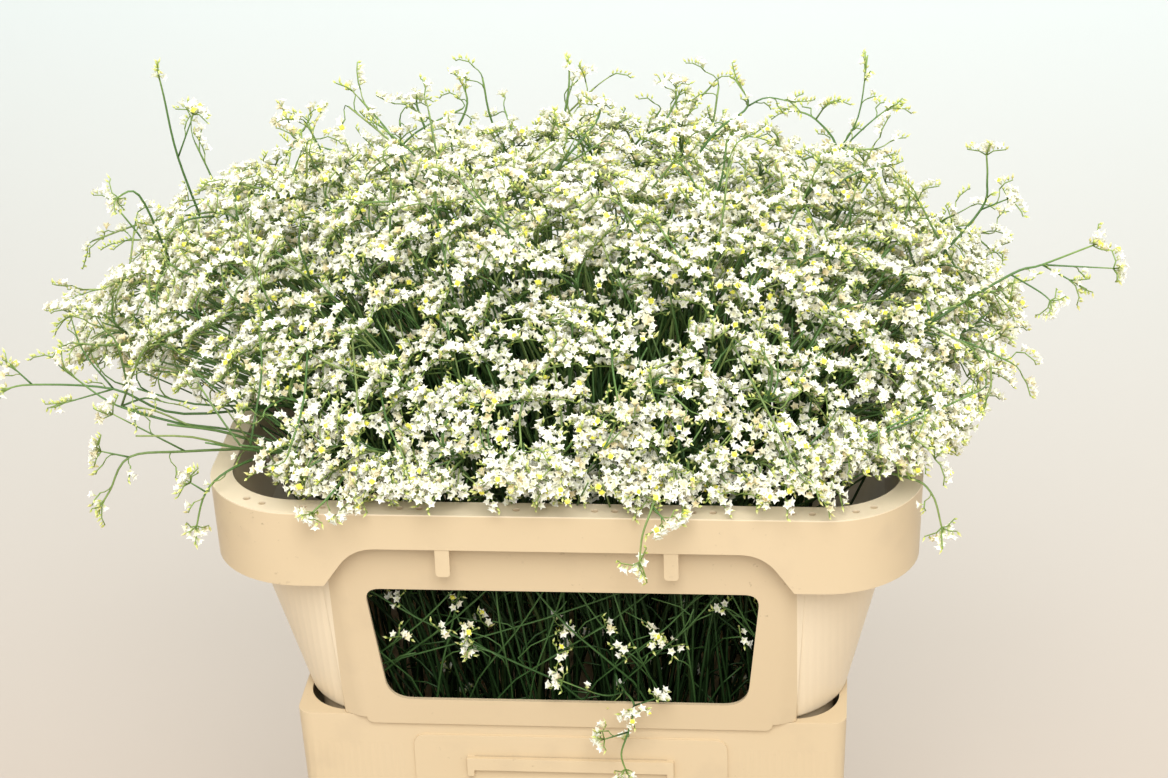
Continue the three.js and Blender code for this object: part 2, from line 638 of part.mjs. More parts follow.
// The crowded part of a spray: a slim core whose every face stands out as a four-sided floret with a
// dished mouth, leaning further up towards the top. below is the path of the stem under it.
function panicle(below, core, top, room, random) {
  const path = [...below, ...core];
  const up = (i) => path[Math.min(i + 1, path.length - 1)].clone().sub(path[Math.max(i - 1, 0)]).normalize();
  const radius = (i) => {
    if (i < below.length) return STEM_RADIUS;
    return i === below.length || i === path.length - 1 ? 0.6 * CORE_RADIUS : CORE_RADIUS;
  };
  const side = new THREE.Vector3(0, 1, 0);
  const vertices = path.flatMap((point, i) => stemRing(point, up(i), side, radius(i), SPRAY_SIDES));
  const triangles = [];
  for (let i = 1; i + 1 < SPRAY_SIDES; i++) triangles.push(0, i + 1, i);
  for (let r = 0; r + 1 < path.length; r++) {
    const start = r * SPRAY_SIDES;
    if (r < below.length) {
      triangles.push(...bridge(start, SPRAY_SIDES, start + SPRAY_SIDES, SPRAY_SIDES));
      continue;
    }
    const height = (r - below.length) / Math.max(core.length - 2, 1);
    const tilt = degToRad(lerp(...FLORET_TILT, height));
    const middle = path[r].clone().lerp(path[r + 1], 0.5);
    const along = path[r + 1].clone().sub(path[r]);
    const band = along.length();
    along.normalize();
    for (let k = 0; k < SPRAY_SIDES; k++) {
      const next = (k + 1) % SPRAY_SIDES;
      const corners = [start + k, start + next, start + SPRAY_SIDES + next, start + SPRAY_SIDES + k];
      const centre = corners.reduce((sum, c) => sum.addScaledVector(vertices[c], 0.25), new THREE.Vector3());
      const away = centre.clone().sub(middle);
      away.addScaledVector(along, -away.dot(along)).normalize();
      const reach = Math.min(FLORET_REACH, room - CORE_RADIUS) * lerp(FLORET_LEAST, 1, random());
      const lean = away.clone().multiplyScalar(Math.cos(tilt)).addScaledVector(along, Math.sin(tilt));
      const mouth = centre.clone().addScaledVector(lean, reach);
      const half = Math.min(FLORET_SIDE, 0.92 * band) * lerp(FLORET_LEAST, 1, random()) / 2;
      const across = along.clone().cross(lean).normalize();
      const rise = lean.clone().cross(across);
      const first = vertices.length;
      for (const [a, b] of [[-1, -1], [1, -1], [1, 1], [-1, 1]]) {
        vertices.push(mouth.clone().addScaledVector(across, a * half).addScaledVector(rise, b * half));
      }
      vertices.push(mouth.clone().addScaledVector(lean, -FLORET_DISH * half));
      for (let c = 0; c < 4; c++) {
        const d = (c + 1) % 4;
        triangles.push(corners[c], corners[d], first + d, corners[c], first + d, first + c);
        triangles.push(first + c, first + d, first + 4);
      }
    }
  }
  const outward = top.clone().sub(path.at(-1)).normalize();
  const petals = vertices.length;
  vertices.push(...stemRing(top, outward, side, CUP_RADIUS, SPRAY_SIDES));
  vertices.push(top.clone().addScaledVector(outward, -FLORET_DISH * CUP_RADIUS));
  triangles.push(...bridge((path.length - 1) * SPRAY_SIDES, SPRAY_SIDES, petals, SPRAY_SIDES));
  for (let k = 0; k < SPRAY_SIDES; k++) {
    triangles.push(petals + SPRAY_SIDES, petals + k, petals + (k + 1) % SPRAY_SIDES);
  }
  return solidFrom(geometryFrom(vertices, triangles));
}

// One spray of the bunch: a stem from the bucket's floor, its panicle, and branches beside it that carry
// florets to the corners of its cell

function makeSpray(cell) {
  const random = seeded(cell.seed);
  const spread = (size) => size * (2 * random() - 1);
  const at = (a, b, out) => bunchPoint(cell.u + a * cell.halfU, cell.v + b * cell.halfV, RIM_Z, out, cell.slide);
  const below = STEM_LEVELS.map((z) => bunchPoint(
    cell.u + spread(STEM_SPREAD) * cell.halfU, cell.v + spread(STEM_SPREAD) * cell.halfV, z, 0, cell.slide,
  ));
  const neck = at(spread(NECK_SPREAD), spread(NECK_SPREAD), 0);
  const fork = at(spread(FORK_SPREAD), spread(FORK_SPREAD), FORK_OUT);
  below.push(neck, fork);
  const length = at(0, 0, CORE_START).distanceTo(at(0, 0, CORE_END));
  const bands = Math.max(2, Math.round(length / FLORET_BAND));
  const core = [];
  for (let i = 0; i <= bands; i++) core.push(at(0, 0, lerp(CORE_START, CORE_END, i / bands)));
  const halfX = cell.halfU * DOME_HALF_WIDTH * Math.sqrt(1 - CORNER_CUT * cell.v ** 2);
  const halfY = cell.halfV * DOME_FRONT * Math.sqrt(1 - CORNER_CUT * cell.u ** 2);
  const room = Math.min(halfX, halfY) * 0.8 - SPRAY_GAP;
  const leader = core.at(-1);
  const top = at(spread(FORK_SPREAD), spread(FORK_SPREAD), TOP_OUT);
  const solids = [panicle(below, core, top, room, random)];
  const cornerA = 1 - (BRANCH_CUP_RADIUS + SPRAY_GAP) / halfX;
  const cornerB = 1 - (BRANCH_CUP_RADIUS + SPRAY_GAP) / halfY;
  const outer = cell.row === 0 ? -1 : cell.row === STEMS_IN_ROW.length - 1 ? 1 : 0;
  for (const [signA, signB] of [[-1, -1], [1, -1], [1, 1], [-1, 1]]) {
    const low = signB === outer;
    const start = neck.clone().lerp(fork, lerp(...BRANCH_START, random()));
    const bendOut = low ? LOW_BRANCH_BEND_OUT : BRANCH_BEND_OUT;
    const tipOut = lerp(...(low ? LOW_BRANCH_TIP_OUT : BRANCH_TIP_OUT), random());
    const bend = at(signA * cornerA * 0.95, signB * cornerB * 0.95, bendOut);
    const tip = at(signA * cornerA, signB * cornerB, tipOut);
    solids.push(stem([start, bend, tip], [TWIG_RADIUS, TWIG_RADIUS, TWIG_RADIUS], 3, BRANCH_CUP_RADIUS));
  }
  for (const { row, place, from, runs } of LONG_SPRAYS) {
    const start = from === "fork" ? fork : leader;
    if (row === cell.row && place === cell.place) solids.push(...makeRuns(runs, start, BRANCH_RADIUS));
  }
  return join(solids);
}

addNode("bucket", makeBucket(), PLASTIC);
addNode("collar", makeCollar(), PLASTIC);
makeCells().forEach((cell, i) => {
  addNode(`spray_${String(i + 1).padStart(2, "0")}`, makeSpray(cell), STATICE);
});
addNode("window_spray", join(makeRuns(WINDOW_SPRAY, null, BRANCH_RADIUS)), STATICE);

export default group;
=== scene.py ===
# Dried statice in its flower container: fine sprays, fine plastic, studio light and the camera.
# Sizes are in millimetres, and MM turns them into Blender's metres when a mesh is made.
import math

import bpy
import numpy as np
from mathutils import Matrix, Vector


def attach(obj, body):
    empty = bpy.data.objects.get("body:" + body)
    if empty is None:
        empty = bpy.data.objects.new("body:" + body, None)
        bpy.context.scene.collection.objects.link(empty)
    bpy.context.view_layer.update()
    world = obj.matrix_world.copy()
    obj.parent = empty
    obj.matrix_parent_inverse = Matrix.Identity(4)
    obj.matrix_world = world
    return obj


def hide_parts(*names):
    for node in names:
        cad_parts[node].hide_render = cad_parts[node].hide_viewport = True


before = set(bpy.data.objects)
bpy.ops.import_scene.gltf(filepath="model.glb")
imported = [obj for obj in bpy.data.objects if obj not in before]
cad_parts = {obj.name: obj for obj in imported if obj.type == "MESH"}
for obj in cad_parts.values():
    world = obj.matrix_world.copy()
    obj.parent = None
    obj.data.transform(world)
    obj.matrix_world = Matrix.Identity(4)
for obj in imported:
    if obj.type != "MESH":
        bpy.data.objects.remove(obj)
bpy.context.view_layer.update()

MM = 0.001

# Camera, as fitted to the photograph
VIEW_AZIMUTH = math.radians(5.913)
VIEW_ELEVATION = math.radians(25.081)
VIEW_ROLL = math.radians(-1.917)
VIEW_DISTANCE = 1698.4
VIEW_TARGET = (3.1, 0.0, 436.4)
LENS = 89.0
SENSOR = 36.0

# The paper sweep's painted shade, darker and warmer near the container and lighter far behind it, runs from
# its near part to its far part
PAPER_SHADE_FROM = 150
PAPER_SHADE_TO = 2100
SWEEP_NEAR = 5000
SWEEP_FAR = 3600
SWEEP_RADIUS = 900
SWEEP_HEIGHT = 4200
SWEEP_HALF_WIDTH = 9000
SWEEP_STEPS = 12

# Bucket
BUCKET_HEIGHT = 281
BUCKET_WALL = 2.5
BUCKET_FLOOR = 3
BUCKET_FOOT = (150, 107.5, 14)
BUCKET_TOP = (159, 115, 9)
BUCKET_OPENING = (154.5, 110, 27)
BUCKET_RIM_THICK = 3.5
LABEL_HALF_WIDTH = 91
LABEL_BOTTOM = 150
LABEL_TOP = 268.7
LABEL_RADIUS = 8
LABEL_PROUD = 1.5
LEDGE_HALF_WIDTH = 60
LEDGE_Z = 255
LEDGE_HEIGHT = 8
LEDGE_PROUD = 5
LEDGE_THICK = 3
LEDGE_END_WIDTH = 4
LEDGE_END_DROP = 12

# Collar; depths are measured down from its rim
RIM_Z = 430
COLLAR_WALL = 2.4
RIM_HALF = (200, 150, 55)
RIM_THICK = 2.6
BAND_HALF = (198.5, 148.5, 54)
BAND_DEPTH = 46
BAND_THICK = 2.6
NOTCH_DEPTH = 22
NOTCH_HALF_TOP = 113
NOTCH_HALF_BOTTOM = 131.5
NOTCH_RADIUS = 13
BODY_TOP = (191, 136.5, 46)
BODY_MID = (182.6, 129.3, 50)
BODY_BOTTOM = (159, 115.5, 56)
BODY_DEPTH = 148.7
SKIRT = (151, 106.5, 38)
SKIRT_DEPTH = 164
PANEL_Y_AT_RIM = 141.5
PANEL_LEAN = 0.157
PANEL_HALF_AT_RIM = 139
PANEL_TAPER = 0.058
PANEL_TOP_DEPTH = 20
PANEL_ROOT_Y = -105
PANEL_HOLLOW_Y = -90
PANEL_SLOPE = (11, 5)
PANEL_EDGE_RADIUS = 4
APRON_DEPTH = 153
APRON_HALF_WIDTH = 117
APRON_RADIUS = 5
WINDOW_TOP_DEPTH = 56
WINDOW_BOTTOM_DEPTH = 135
WINDOW_HALF_TOP = 110.8
WINDOW_HALF_BOTTOM = 102.7
WINDOW_RADIUS_TOP = 9
WINDOW_RADIUS_BOTTOM = 14
TAB_OUTER = 67
TAB_WIDTH = 8
TAB_DEPTH = 39
TAB_RADIUS = 2.5
TAB_PROUD = 0.2
TAB_OVERLAP = 3
HOLE_RADIUS = 2.1
HOLE_SPACING = 11
HOLE_PAIRS_X = (-134, -80.4, -27, 27, 80.4, 134)
HOLE_INSET = 8
CORNER_HOLE_ANGLE = 60.7
CUT_FRONT_Y = -170
CUT_BACK_Y = -80
NOTCH_BACK_Y = -142
CORNER_STEPS = 14
EDGE_BEVEL = 0.7

# Ribs of the plastic, and the parts beside the label, at the collar's corners and on its flange,
# each as how far out it starts, and its lowest and highest height
RIB_PITCH = 4.2
# The corners and the flange are painted paler: a painted light, and on the corners also the whiter plastic of
# their ribs
PLASTIC_PARTS = ((97, 8, 262), (131, 282, 382), (0, 429.2, 431))

# Colours as places along a ramp
PLASTIC_TONES = ((0.3, (0.63, 0.495, 0.31)), (0.7, (0.665, 0.53, 0.345)))
# The paper's colours are a painted shade, from its near part to its far part
PAINTED_PAPER_SHADE = ((0.0, (0.445, 0.385, 0.325)), (0.5, (0.52, 0.51, 0.475)), (1.0, (0.615, 0.65, 0.635)))
SPECK_COLOR = (0.22, 0.15, 0.08)
SMUDGE_COLOR = (0.42, 0.33, 0.23)
# Painted light: the paler colour mixed onto the collar's corners and its flange
PAINTED_LIGHT_COLOR = (0.86, 0.74, 0.55)

# Materials of the plant: name, roughness, specular, colours up its growth while fresh and when old,
# the ages between which it turns, the grain as scale and tones, and the relief as scale, strength and depth
PLANT_MATERIALS = (
    # The stem's colours up its growth are a painted shade: nearly black low down inside the container,
    # lighter towards the tips
    ("statice_stem", 0.5, 0.35,
     ((0.0, (0.010, 0.022, 0.006)), (0.4, (0.032, 0.085, 0.02)), (0.8, (0.11, 0.22, 0.06)),
      (1.0, (0.30, 0.42, 0.10))),
     ((0.0, (0.02, 0.03, 0.01)), (0.5, (0.10, 0.16, 0.04)), (1.0, (0.40, 0.48, 0.16))), (0.45, 1.0),
     (420, ((0.3, (0.72, 0.74, 0.66)), (0.7, (1, 1, 1)))), (700, 0.3, 0.0003)),
    ("statice_petal", 0.62, 0.3,
     ((0.0, (0.30, 0.40, 0.10)), (0.5, (0.58, 0.60, 0.32)), (0.72, (0.88, 0.88, 0.72)),
      (1.0, (0.94, 0.935, 0.86))),
     ((0.0, (0.28, 0.25, 0.08)), (0.5, (0.60, 0.50, 0.25)), (1.0, (0.86, 0.78, 0.54))), (0.72, 0.98),
     (900, ((0.3, (0.90, 0.90, 0.86)), (0.6, (1, 1, 1)))), (1300, 0.25, 0.0004)),
    ("statice_bud", 0.6, 0.3,
     ((0.0, (0.24, 0.34, 0.05)), (0.5, (0.55, 0.62, 0.15)), (1.0, (0.86, 0.86, 0.45))),
     ((0.0, (0.22, 0.24, 0.05)), (0.5, (0.50, 0.44, 0.15)), (1.0, (0.78, 0.70, 0.40))), (0.6, 1.0)),
    ("statice_corolla", 0.55, 0.3, ((0.0, (0.72, 0.72, 0.10)), (1.0, (0.95, 0.90, 0.10)))),
)

# Light: the world's strength, and lamps as name, place, target and width in metres, and power in watts
WORLD_COLOR = (1.0, 0.99, 0.97, 1.0)
WORLD_STRENGTH = 0.9
LAMPS = (
    ("key", (0.2, -1.9, 2.2), (0, 0, 0.42), 1.3, 60),
    ("overhead", (0.2, 0.3, 2.4), (0, 0, 0.4), 1.8, 26),
    ("backdrop", (0.0, 2.6, 2.6), (0, 2.4, 0), 2.2, 36),
)

# The bunch, as in the solids
SEED = 7
STEMS_IN_ROW = (7, 7, 7, 7, 6)
ROW_SLIDE = (14, -16, 15, -16, 14)
SLIDE_Z = 335
SLIDE_SPAN = 48
CORNER_CUT = 0.28
STEM_FOOT_Z = BUCKET_FLOOR + 0.4
NECK = ((STEM_FOOT_Z, 100, 78), (270, 116, 84), (300, 120, 86), (374, 136, 98), (RIM_Z, 150, 112))
STEM_LEVELS = (STEM_FOOT_Z, 140, 250, 310, 370)
EDGE_JITTER = 0.3
STEM_SPREAD = 0.5
NECK_SPREAD = 0.4
FORK_SPREAD = 0.1
DOME_HALF_WIDTH = 280
DOME_SHIFT_X = -18
DOME_FRONT = 168
DOME_BACK = 186
DOME_RISE = 164
DOME_RISE_SIDE = 52
DOME_RISE_FRONT = 18
DOME_RISE_BACK = 30
DOME_RISE_LEAST = 42
DOME_SOFTNESS = 8
SIDE_FALL_POWER = 4
FRONT_FALL_POWER = 2.6
FORK_OUT = 0.22
CORE_START = 0.4
CORE_END = 0.82

# Fine sprays
STEM_RADIUS = 1.25
BRANCH_RADIUS = 0.85
STALK_RADIUS = 0.55
AXIS_RADIUS = 0.38
FLORET_RADIUS = (2.3, 3.2)
FLORET_LENGTH = (3.6, 4.8)
BUD_LENGTH = (3.2, 4.8)
BUD_RADIUS = (0.6375, 0.9)
RUFFLE = 0.09
COROLLA_SHARE = 0.075
COROLLA_WIDTH = (0.55, 0.9)
ITEM_SPACING = 2.3
COMB_LENGTH = (9, 17)
COMB_TURN = (0.5, 1.6)
COMB_CURL_SHARE = 0.85
COMB_BACK_TURN = -0.4
COMB_LEAN = (0.25, 0.6)
TWIG_GROWTH = (0.8, 0.95)
STALK_REACH = 34
WRONG_SIDE_COST = 400
ACROSS, DEPTHWISE, UP = np.eye(3)

# Sprigs: layers as lowest and highest part of the way out, share of the top layer's number, and combs
SITE_AREA = 245
SITE_JITTER = 2.5
SITE_TILT = 0.18
FACE_DEPTH = (0.78, 1.03)
FACE_TOP = 0.97
RIM_OUT = (0.0, 0.3)
LAYERS = ((0.87, 0.98, 1.0, 3), (0.72, 0.86, 0.7, 3), (0.5, 0.7, 0.45, 2), (0.25, 0.5, 0.3, 2))
FACE_SHARE = 1.6
OPEN_SHARE = 0.7
PATCH_GAP = (0.8, -0.42, 0.62)
PATCH_EMPTY = 0.8
LIFT = (-24, 2)
FRONT_BARE = 0.04
BACK_BARE = 0.2
LEFT_BARE = 0.5
RIGHT_BARE = 0.12
FLANK_Y = -120
FLANK_SLOPE = 0.46
FLANK_SHIFT = (0.29, 0.05)
LEFT_FLANK = ((-300, 515), (-250, 502), (-215, 500), (-190, 488), (-165, 455), (-145, 430))
RIGHT_FLANK = ((440, 205), (465, 215), (490, 232), (530, 250), (610, 238))
RIM_SITES = 8
RIM_ROWS = 3
END_RIM_SITES = 44
WISPS = 4
WISP_RISE = (4, 28)
FILL_STEMS = 26
FAN_STEMS = 9
SIDE_STEMS = 11
SIDE_TWIGS = 2
SIDE_TOP_REACH = (60, 22, 6)
SIDE_BEND = (16, 10, 0)
WINDOW_STEMS = 3
WINDOW_LEAN = 34
WINDOW_SPRIG_SHARE = 0.5
INSIDE_HALF = (135, 98)
WINDOW_HALF_Y = 114
WINDOW_HEIGHTS = (302, 372)
INSIDE_SPRIG_SHARE = 0.3
WISP_HIGH = (292, 140, 622)
SITE_LOW = (-300, -170, RIM_Z + 3)
SITE_HIGH = (288, 134, 612)

# Long sprays, as in the solids: row and place of the spray, where the main stem starts, and the stems,
# each with the point of the main stem that it leaves, what its end carries, and its points
LONG_SPRAYS = (
    (1, 0, "fork",
     (None, "buds", (-220, -70, 451), (-257, -78, 470), (-302, -84, 475), (-320, -86, 472)),
     (1, "florets", (-274, -72, 491), (-281, -68, 516)),
     (1, "buds", (-291, -90, 464)),
     (2, "buds", (-316, -80, 487)),
    ),
    (0, 0, "fork",
     (None, "buds", (-210, -112, 448), (-239, -124, 450), (-251, -128, 431), (-255, -130, 425)),
     (0, "florets", (-250, -118, 475)),
     (1, "florets", (-257, -126, 455)),
    ),
    (0, 0, "fork",
     (None, "florets", (-180, -125, 445), (-195, -134, 434), (-202, -138, 412)),
     (1, "florets", (-206, -133, 441)),
    ),
    (3, 0, "leader",
     (None, "buds", (-242, 60, 558), (-247, 60, 596), (-249, 60, 610)),
     (0, "florets", (-229, 60, 588)),
    ),
    (2, 0, "leader",
     (None, "florets", (-246, -22, 566), (-260, -26, 565)),
    ),
    (3, 2, "leader", (None, "florets", (-96, 66, 584), (-98, 70, 592))),
    (3, 2, "leader", (None, "buds", (-69, 72, 584), (-71, 80, 598))),
    (3, 3, "leader", (None, "buds", (-9, 80, 590), (-8, 85, 608))),
    (2, 3, "leader", (None, "florets", (12, 20, 594), (15, 25, 606))),
    (3, 4, "leader", (None, "florets", (56, 68, 590), (56, 70, 602))),
    (2, 4, "leader",
     (None, "buds", (82, 8, 594), (100, 12, 608), (93, 12, 624)),
     (1, "buds", (111, 12, 613), (127, 12, 610)),
    ),
    (2, 5, "leader",
     (None, "buds", (150, 24, 575), (138, 26, 595), (122, 28, 601)),
     (1, "buds", (145, 26, 606)),
     (0, "buds", (162, 28, 596), (167, 30, 632)),
     (0, "buds", (168, 22, 594), (182, 24, 605)),
    ),
    (2, 6, "leader",
     (None, "florets", (232, 12, 546), (235, 12, 564), (234, 12, 582)),
     (0, "florets", (249, 6, 556)),
    ),
    (1, 6, "leader",
     (None, "florets", (247, -40, 528), (264, -40, 534), (294, -40, 547)),
     (1, "florets", (306, -40, 532)),
     (1, "buds", (289, -44, 521)),
     (0, "florets", (264, -42, 518), (271, -44, 512)),
    ),
    (0, 6, "fork",
     (None, "florets", (186, -126, 446), (203, -134, 440), (210, -136, 417)),
    ),
    (0, 4, "fork",
     (None, "florets", (54, -152, 447), (55, -168, 447), (50, -177, 434), (48, -179, 416)),
     (1, "florets", (64, -177, 440)),
    ),
    (0, 1, "fork",
     (None, "florets", (-118, -155, 448), (-131, -168, 438)),
     (0, "florets", (-112, -170, 442)),
    ),
)
WINDOW_SPRAY = (
    (None, "florets", (30, -86, STEM_FOOT_Z), (26, -88, 150), (25, -94, 288), (28, -103, 297.5),
     (33, -118, 301.5), (39, -129, 299), (36, -138, 287), (32, -141, 274), (35, -142, 262)),
    (4, "florets", (21, -128, 305), (-4, -130, 316)),
    (5, "florets", (54, -134, 308)),
    (6, "florets", (20, -143, 284)),
    (5, "florets", (38, -141, 301)),
)


# Materials

def new_material(name, roughness, specular):
    material = bpy.data.materials.new(name)
    material.use_nodes = True
    shader = material.node_tree.nodes["Principled BSDF"]
    shader.inputs["Roughness"].default_value = roughness
    shader.inputs["Specular IOR Level"].default_value = specular
    return material, material.node_tree, shader


def add_node(tree, kind, inputs, **settings):
    """A node with these settings, whose inputs are linked to sockets or set to values."""
    node = tree.nodes.new(kind)
    for key, value in settings.items():
        setattr(node, key, value)
    for key, value in inputs.items():
        if isinstance(value, bpy.types.NodeSocket):
            tree.links.new(value, node.inputs[key])
        else:
            node.inputs[key].default_value = value
    return node


def noise(tree, scale, detail, place):
    inputs = {"Scale": scale, "Detail": detail, "Vector": place}
    return add_node(tree, "ShaderNodeTexNoise", inputs).outputs["Fac"]


def ramp(tree, source, stops):
    node = add_node(tree, "ShaderNodeValToRGB", {"Fac": source})
    elements = node.color_ramp.elements
    while len(elements) < len(stops):
        elements.new(0.5)
    for element, (place, color) in zip(elements, stops):
        element.position = place
        element.color = (*color, 1.0)
    return node.outputs["Color"]


def rise(tree, source, low, high):
    """From 0 where the source is low to 1 where it is high."""
    return ramp(tree, source, ((low, (0, 0, 0)), (high, (1, 1, 1))))


def mix(tree, factor, a, b, kind="MIX"):
    a, b = [value if isinstance(value, bpy.types.NodeSocket) else (*value, 1.0) for value in (a, b)]
    inputs = {0: factor, 6: a, 7: b}
    return add_node(tree, "ShaderNodeMix", inputs, data_type="RGBA", blend_type=kind).outputs[2]


def math_node(tree, operation, *values):
    return add_node(tree, "ShaderNodeMath", dict(enumerate(values)), operation=operation).outputs[0]


def map_range(tree, value, low, high, to_low=0.0, to_high=1.0):
    ends = {"Value": value, "From Min": low, "From Max": high, "To Min": to_low, "To Max": to_high}
    return add_node(tree, "ShaderNodeMapRange", ends).outputs["Result"]


def bump(tree, shader, height, strength, distance):
    node = add_node(tree, "ShaderNodeBump", {"Strength": strength, "Distance": distance, "Height": height})
    tree.links.new(node.outputs["Normal"], shader.inputs["Normal"])


def object_place(tree):
    return add_node(tree, "ShaderNodeTexCoord", {}).outputs["Object"]


def axes_of(tree, place):
    return add_node(tree, "ShaderNodeSeparateXYZ", {0: place}).outputs


def plant_material(name, roughness, specular, fresh, old=None, turning=None, grain=None, relief=None):
    material, tree, shader = new_material(name, roughness, specular)
    growth = add_node(tree, "ShaderNodeAttribute", {}, attribute_name="growth").outputs["Color"]
    along, age, _ = add_node(tree, "ShaderNodeSeparateColor", {"Color": growth}).outputs
    color = ramp(tree, along, fresh)
    if old:
        color = mix(tree, rise(tree, age, *turning), color, ramp(tree, along, old))
    if grain:
        place = object_place(tree)
        scale, tones = grain
        color = mix(tree, 1.0, color, ramp(tree, noise(tree, scale, 3.0, place), tones), "MULTIPLY")
        scale, strength, depth = relief
        bump(tree, shader, noise(tree, scale, 2.0, place), strength, depth)
    tree.links.new(color, shader.inputs["Base Color"])
    return material


def is_between(tree, value, low, high):
    """1 where the value is between low and high, and 0 elsewhere."""
    return math_node(tree, "MULTIPLY", math_node(tree, "GREATER_THAN", value, low),
                     math_node(tree, "LESS_THAN", value, high))


def plastic_parts(tree, place):
    """The height of faint upright ribs by the label and on the collar's corners, and the parts painted paler:
    a painted light on the collar's flange, and on its corners a painted light together with their whiter
    plastic.
    """
    x, _, z = axes_of(tree, place)
    wave = math_node(tree, "SINE", math_node(tree, "MULTIPLY", x, 2 * math.pi / (RIB_PITCH * MM)))
    beside = math_node(tree, "ABSOLUTE", x)
    label, corners, flange = [
        math_node(tree, "MULTIPLY", is_between(tree, beside, from_x * MM, 1.0),
                  is_between(tree, z, z0 * MM, z1 * MM))
        for from_x, z0, z1 in PLASTIC_PARTS]
    ribs = math_node(tree, "MULTIPLY", wave, math_node(tree, "ADD", label, corners))
    return ribs, math_node(tree, "ADD", corners, flange)


def make_plastic_material():
    material, tree, shader = new_material("container_plastic", 0.4, 0.42)
    place = object_place(tree)
    color = ramp(tree, noise(tree, 6, 3.0, place), PLASTIC_TONES)
    specks = math_node(tree, "MULTIPLY", rise(tree, noise(tree, 260, 4.0, place), 0.66, 0.74),
                       rise(tree, noise(tree, 9, 2.0, place), 0.52, 0.66))
    smudges = rise(tree, noise(tree, 34, 4.0, place), 0.56, 0.8)
    # The collar's corners and flange are mixed towards a paler colour, a painted light
    ribs, painted_light = plastic_parts(tree, place)
    layers = ((specks, 0.55, SPECK_COLOR), (smudges, 0.22, SMUDGE_COLOR), (painted_light, 0.7, PAINTED_LIGHT_COLOR))
    for where, share, tint in layers:
        color = mix(tree, math_node(tree, "MULTIPLY", where, share), color, tint)
    tree.links.new(color, shader.inputs["Base Color"])
    rough = map_range(tree, noise(tree, 60, 3.0, place), 0.0, 1.0, 0.34, 0.52)
    tree.links.new(rough, shader.inputs["Roughness"])
    height = math_node(tree, "ADD", math_node(tree, "MULTIPLY", noise(tree, 500, 2.0, place), 0.35), ribs)
    bump(tree, shader, height, 0.16, 0.0005)
    return material


def make_stage_material():
    material, tree, shader = new_material("studio_paper", 0.9, 0.1)
    depth = axes_of(tree, object_place(tree))[1]
    # Painted shade: the paper is coloured darker near the container and lighter far behind it
    shade = map_range(tree, depth, PAPER_SHADE_FROM * MM, PAPER_SHADE_TO * MM)
    tree.links.new(ramp(tree, shade, PAINTED_PAPER_SHADE), shader.inputs["Base Color"])
    return material


# Meshes

def link_new(name, data):
    made = bpy.data.objects.new(name, data)
    bpy.context.scene.collection.objects.link(made)
    return made


def mesh_object(name, materials, points, triangles, smooth, slots, growth):
    mesh = bpy.data.meshes.new(name)
    count = len(triangles)
    mesh.vertices.add(len(points))
    mesh.vertices.foreach_set("co", (points * MM).ravel())
    mesh.loops.add(3 * count)
    mesh.loops.foreach_set("vertex_index", triangles.astype(np.int32).ravel())
    mesh.polygons.add(count)
    mesh.polygons.foreach_set("loop_start", np.arange(0, 3 * count, 3, dtype=np.int32))
    mesh.update(calc_edges=True)
    mesh.polygons.foreach_set("material_index", slots.astype(np.int32))
    mesh.polygons.foreach_set("use_smooth", smooth)
    layer = mesh.color_attributes.new(name="growth", type="FLOAT_COLOR", domain="POINT")
    color = np.ones((len(points), 4), dtype=np.float32)
    color[:, :3] = growth
    layer.data.foreach_set("color", color.ravel())
    for material in materials:
        mesh.materials.append(material)
    mesh.validate()
    return link_new(name, mesh)


# Closed solids of the container, joined and cut as solids

def faced_object(points, faces, name="solid"):
    mesh = bpy.data.meshes.new(name)
    mesh.from_pydata([tuple(c * MM for c in point) for point in points], [], faces)
    return link_new(name, mesh)


def loft(rings):
    count = len(rings[0])
    faces = [tuple(reversed(range(count)))]
    last = (len(rings) - 1) * count
    for start in range(0, last, count):
        for i in range(count):
            a = start + i
            b = start + (i + 1) % count
            faces.append((a, b, b + count, a + count))
    faces.append(tuple(range(last, last + count)))
    return faced_object([point for ring in rings for point in ring], faces)


def rounded_ring(half, z):
    half_x, half_y, radius = half
    ring = []
    for sx, sy, turn in ((1, -1, -90), (1, 1, 0), (-1, 1, 90), (-1, -1, 180)):
        for i in range(CORNER_STEPS + 1):
            angle = math.radians(turn + 90 * i / CORNER_STEPS)
            ring.append((sx * (half_x - radius) + radius * math.cos(angle),
                         sy * (half_y - radius) + radius * math.sin(angle), z))
    return ring


def shrink(half, by):
    return (half[0] - by, half[1] - by, max(half[2] - by, 4))


def stack(*levels):
    """A solid through rounded rings, each given as its half sizes and its height."""
    return loft([rounded_ring(half, z) for half, z in levels])


def block(low, high):
    def corners(x0, x1, y0, y1, z):
        return [(x0, y0, z), (x1, y0, z), (x1, y1, z), (x0, y1, z)]
    return loft([corners(*low), corners(*high)])


def push_along_y(outline, y0, y1):
    return loft([[(x, y1, z) for x, z in outline], [(x, y0, z) for x, z in outline]])


def round_corners(corners, radii, steps=8):
    corners = [Vector(corner) for corner in corners]
    outline = []
    for i, (corner, radius) in enumerate(zip(corners, radii)):
        before = corner + (corners[i - 1] - corner).normalized() * radius
        after = corner + (corners[(i + 1) % len(corners)] - corner).normalized() * radius
        for k in range(steps + 1 if radius else 1):
            t = k / steps
            point = before * (1 - t) ** 2 + corner * 2 * t * (1 - t) + after * t ** 2
            outline.append((point.x, point.y))
    return outline


def trapezoid(half_bottom, half_top, z0, z1, radius_bottom, radius_top, x=0):
    """An upright outline with round corners, the same to both sides of x."""
    corners = ((x - half_bottom, z0), (x + half_bottom, z0), (x + half_top, z1), (x - half_top, z1))
    return round_corners(corners, (radius_bottom, radius_bottom, radius_top, radius_top))


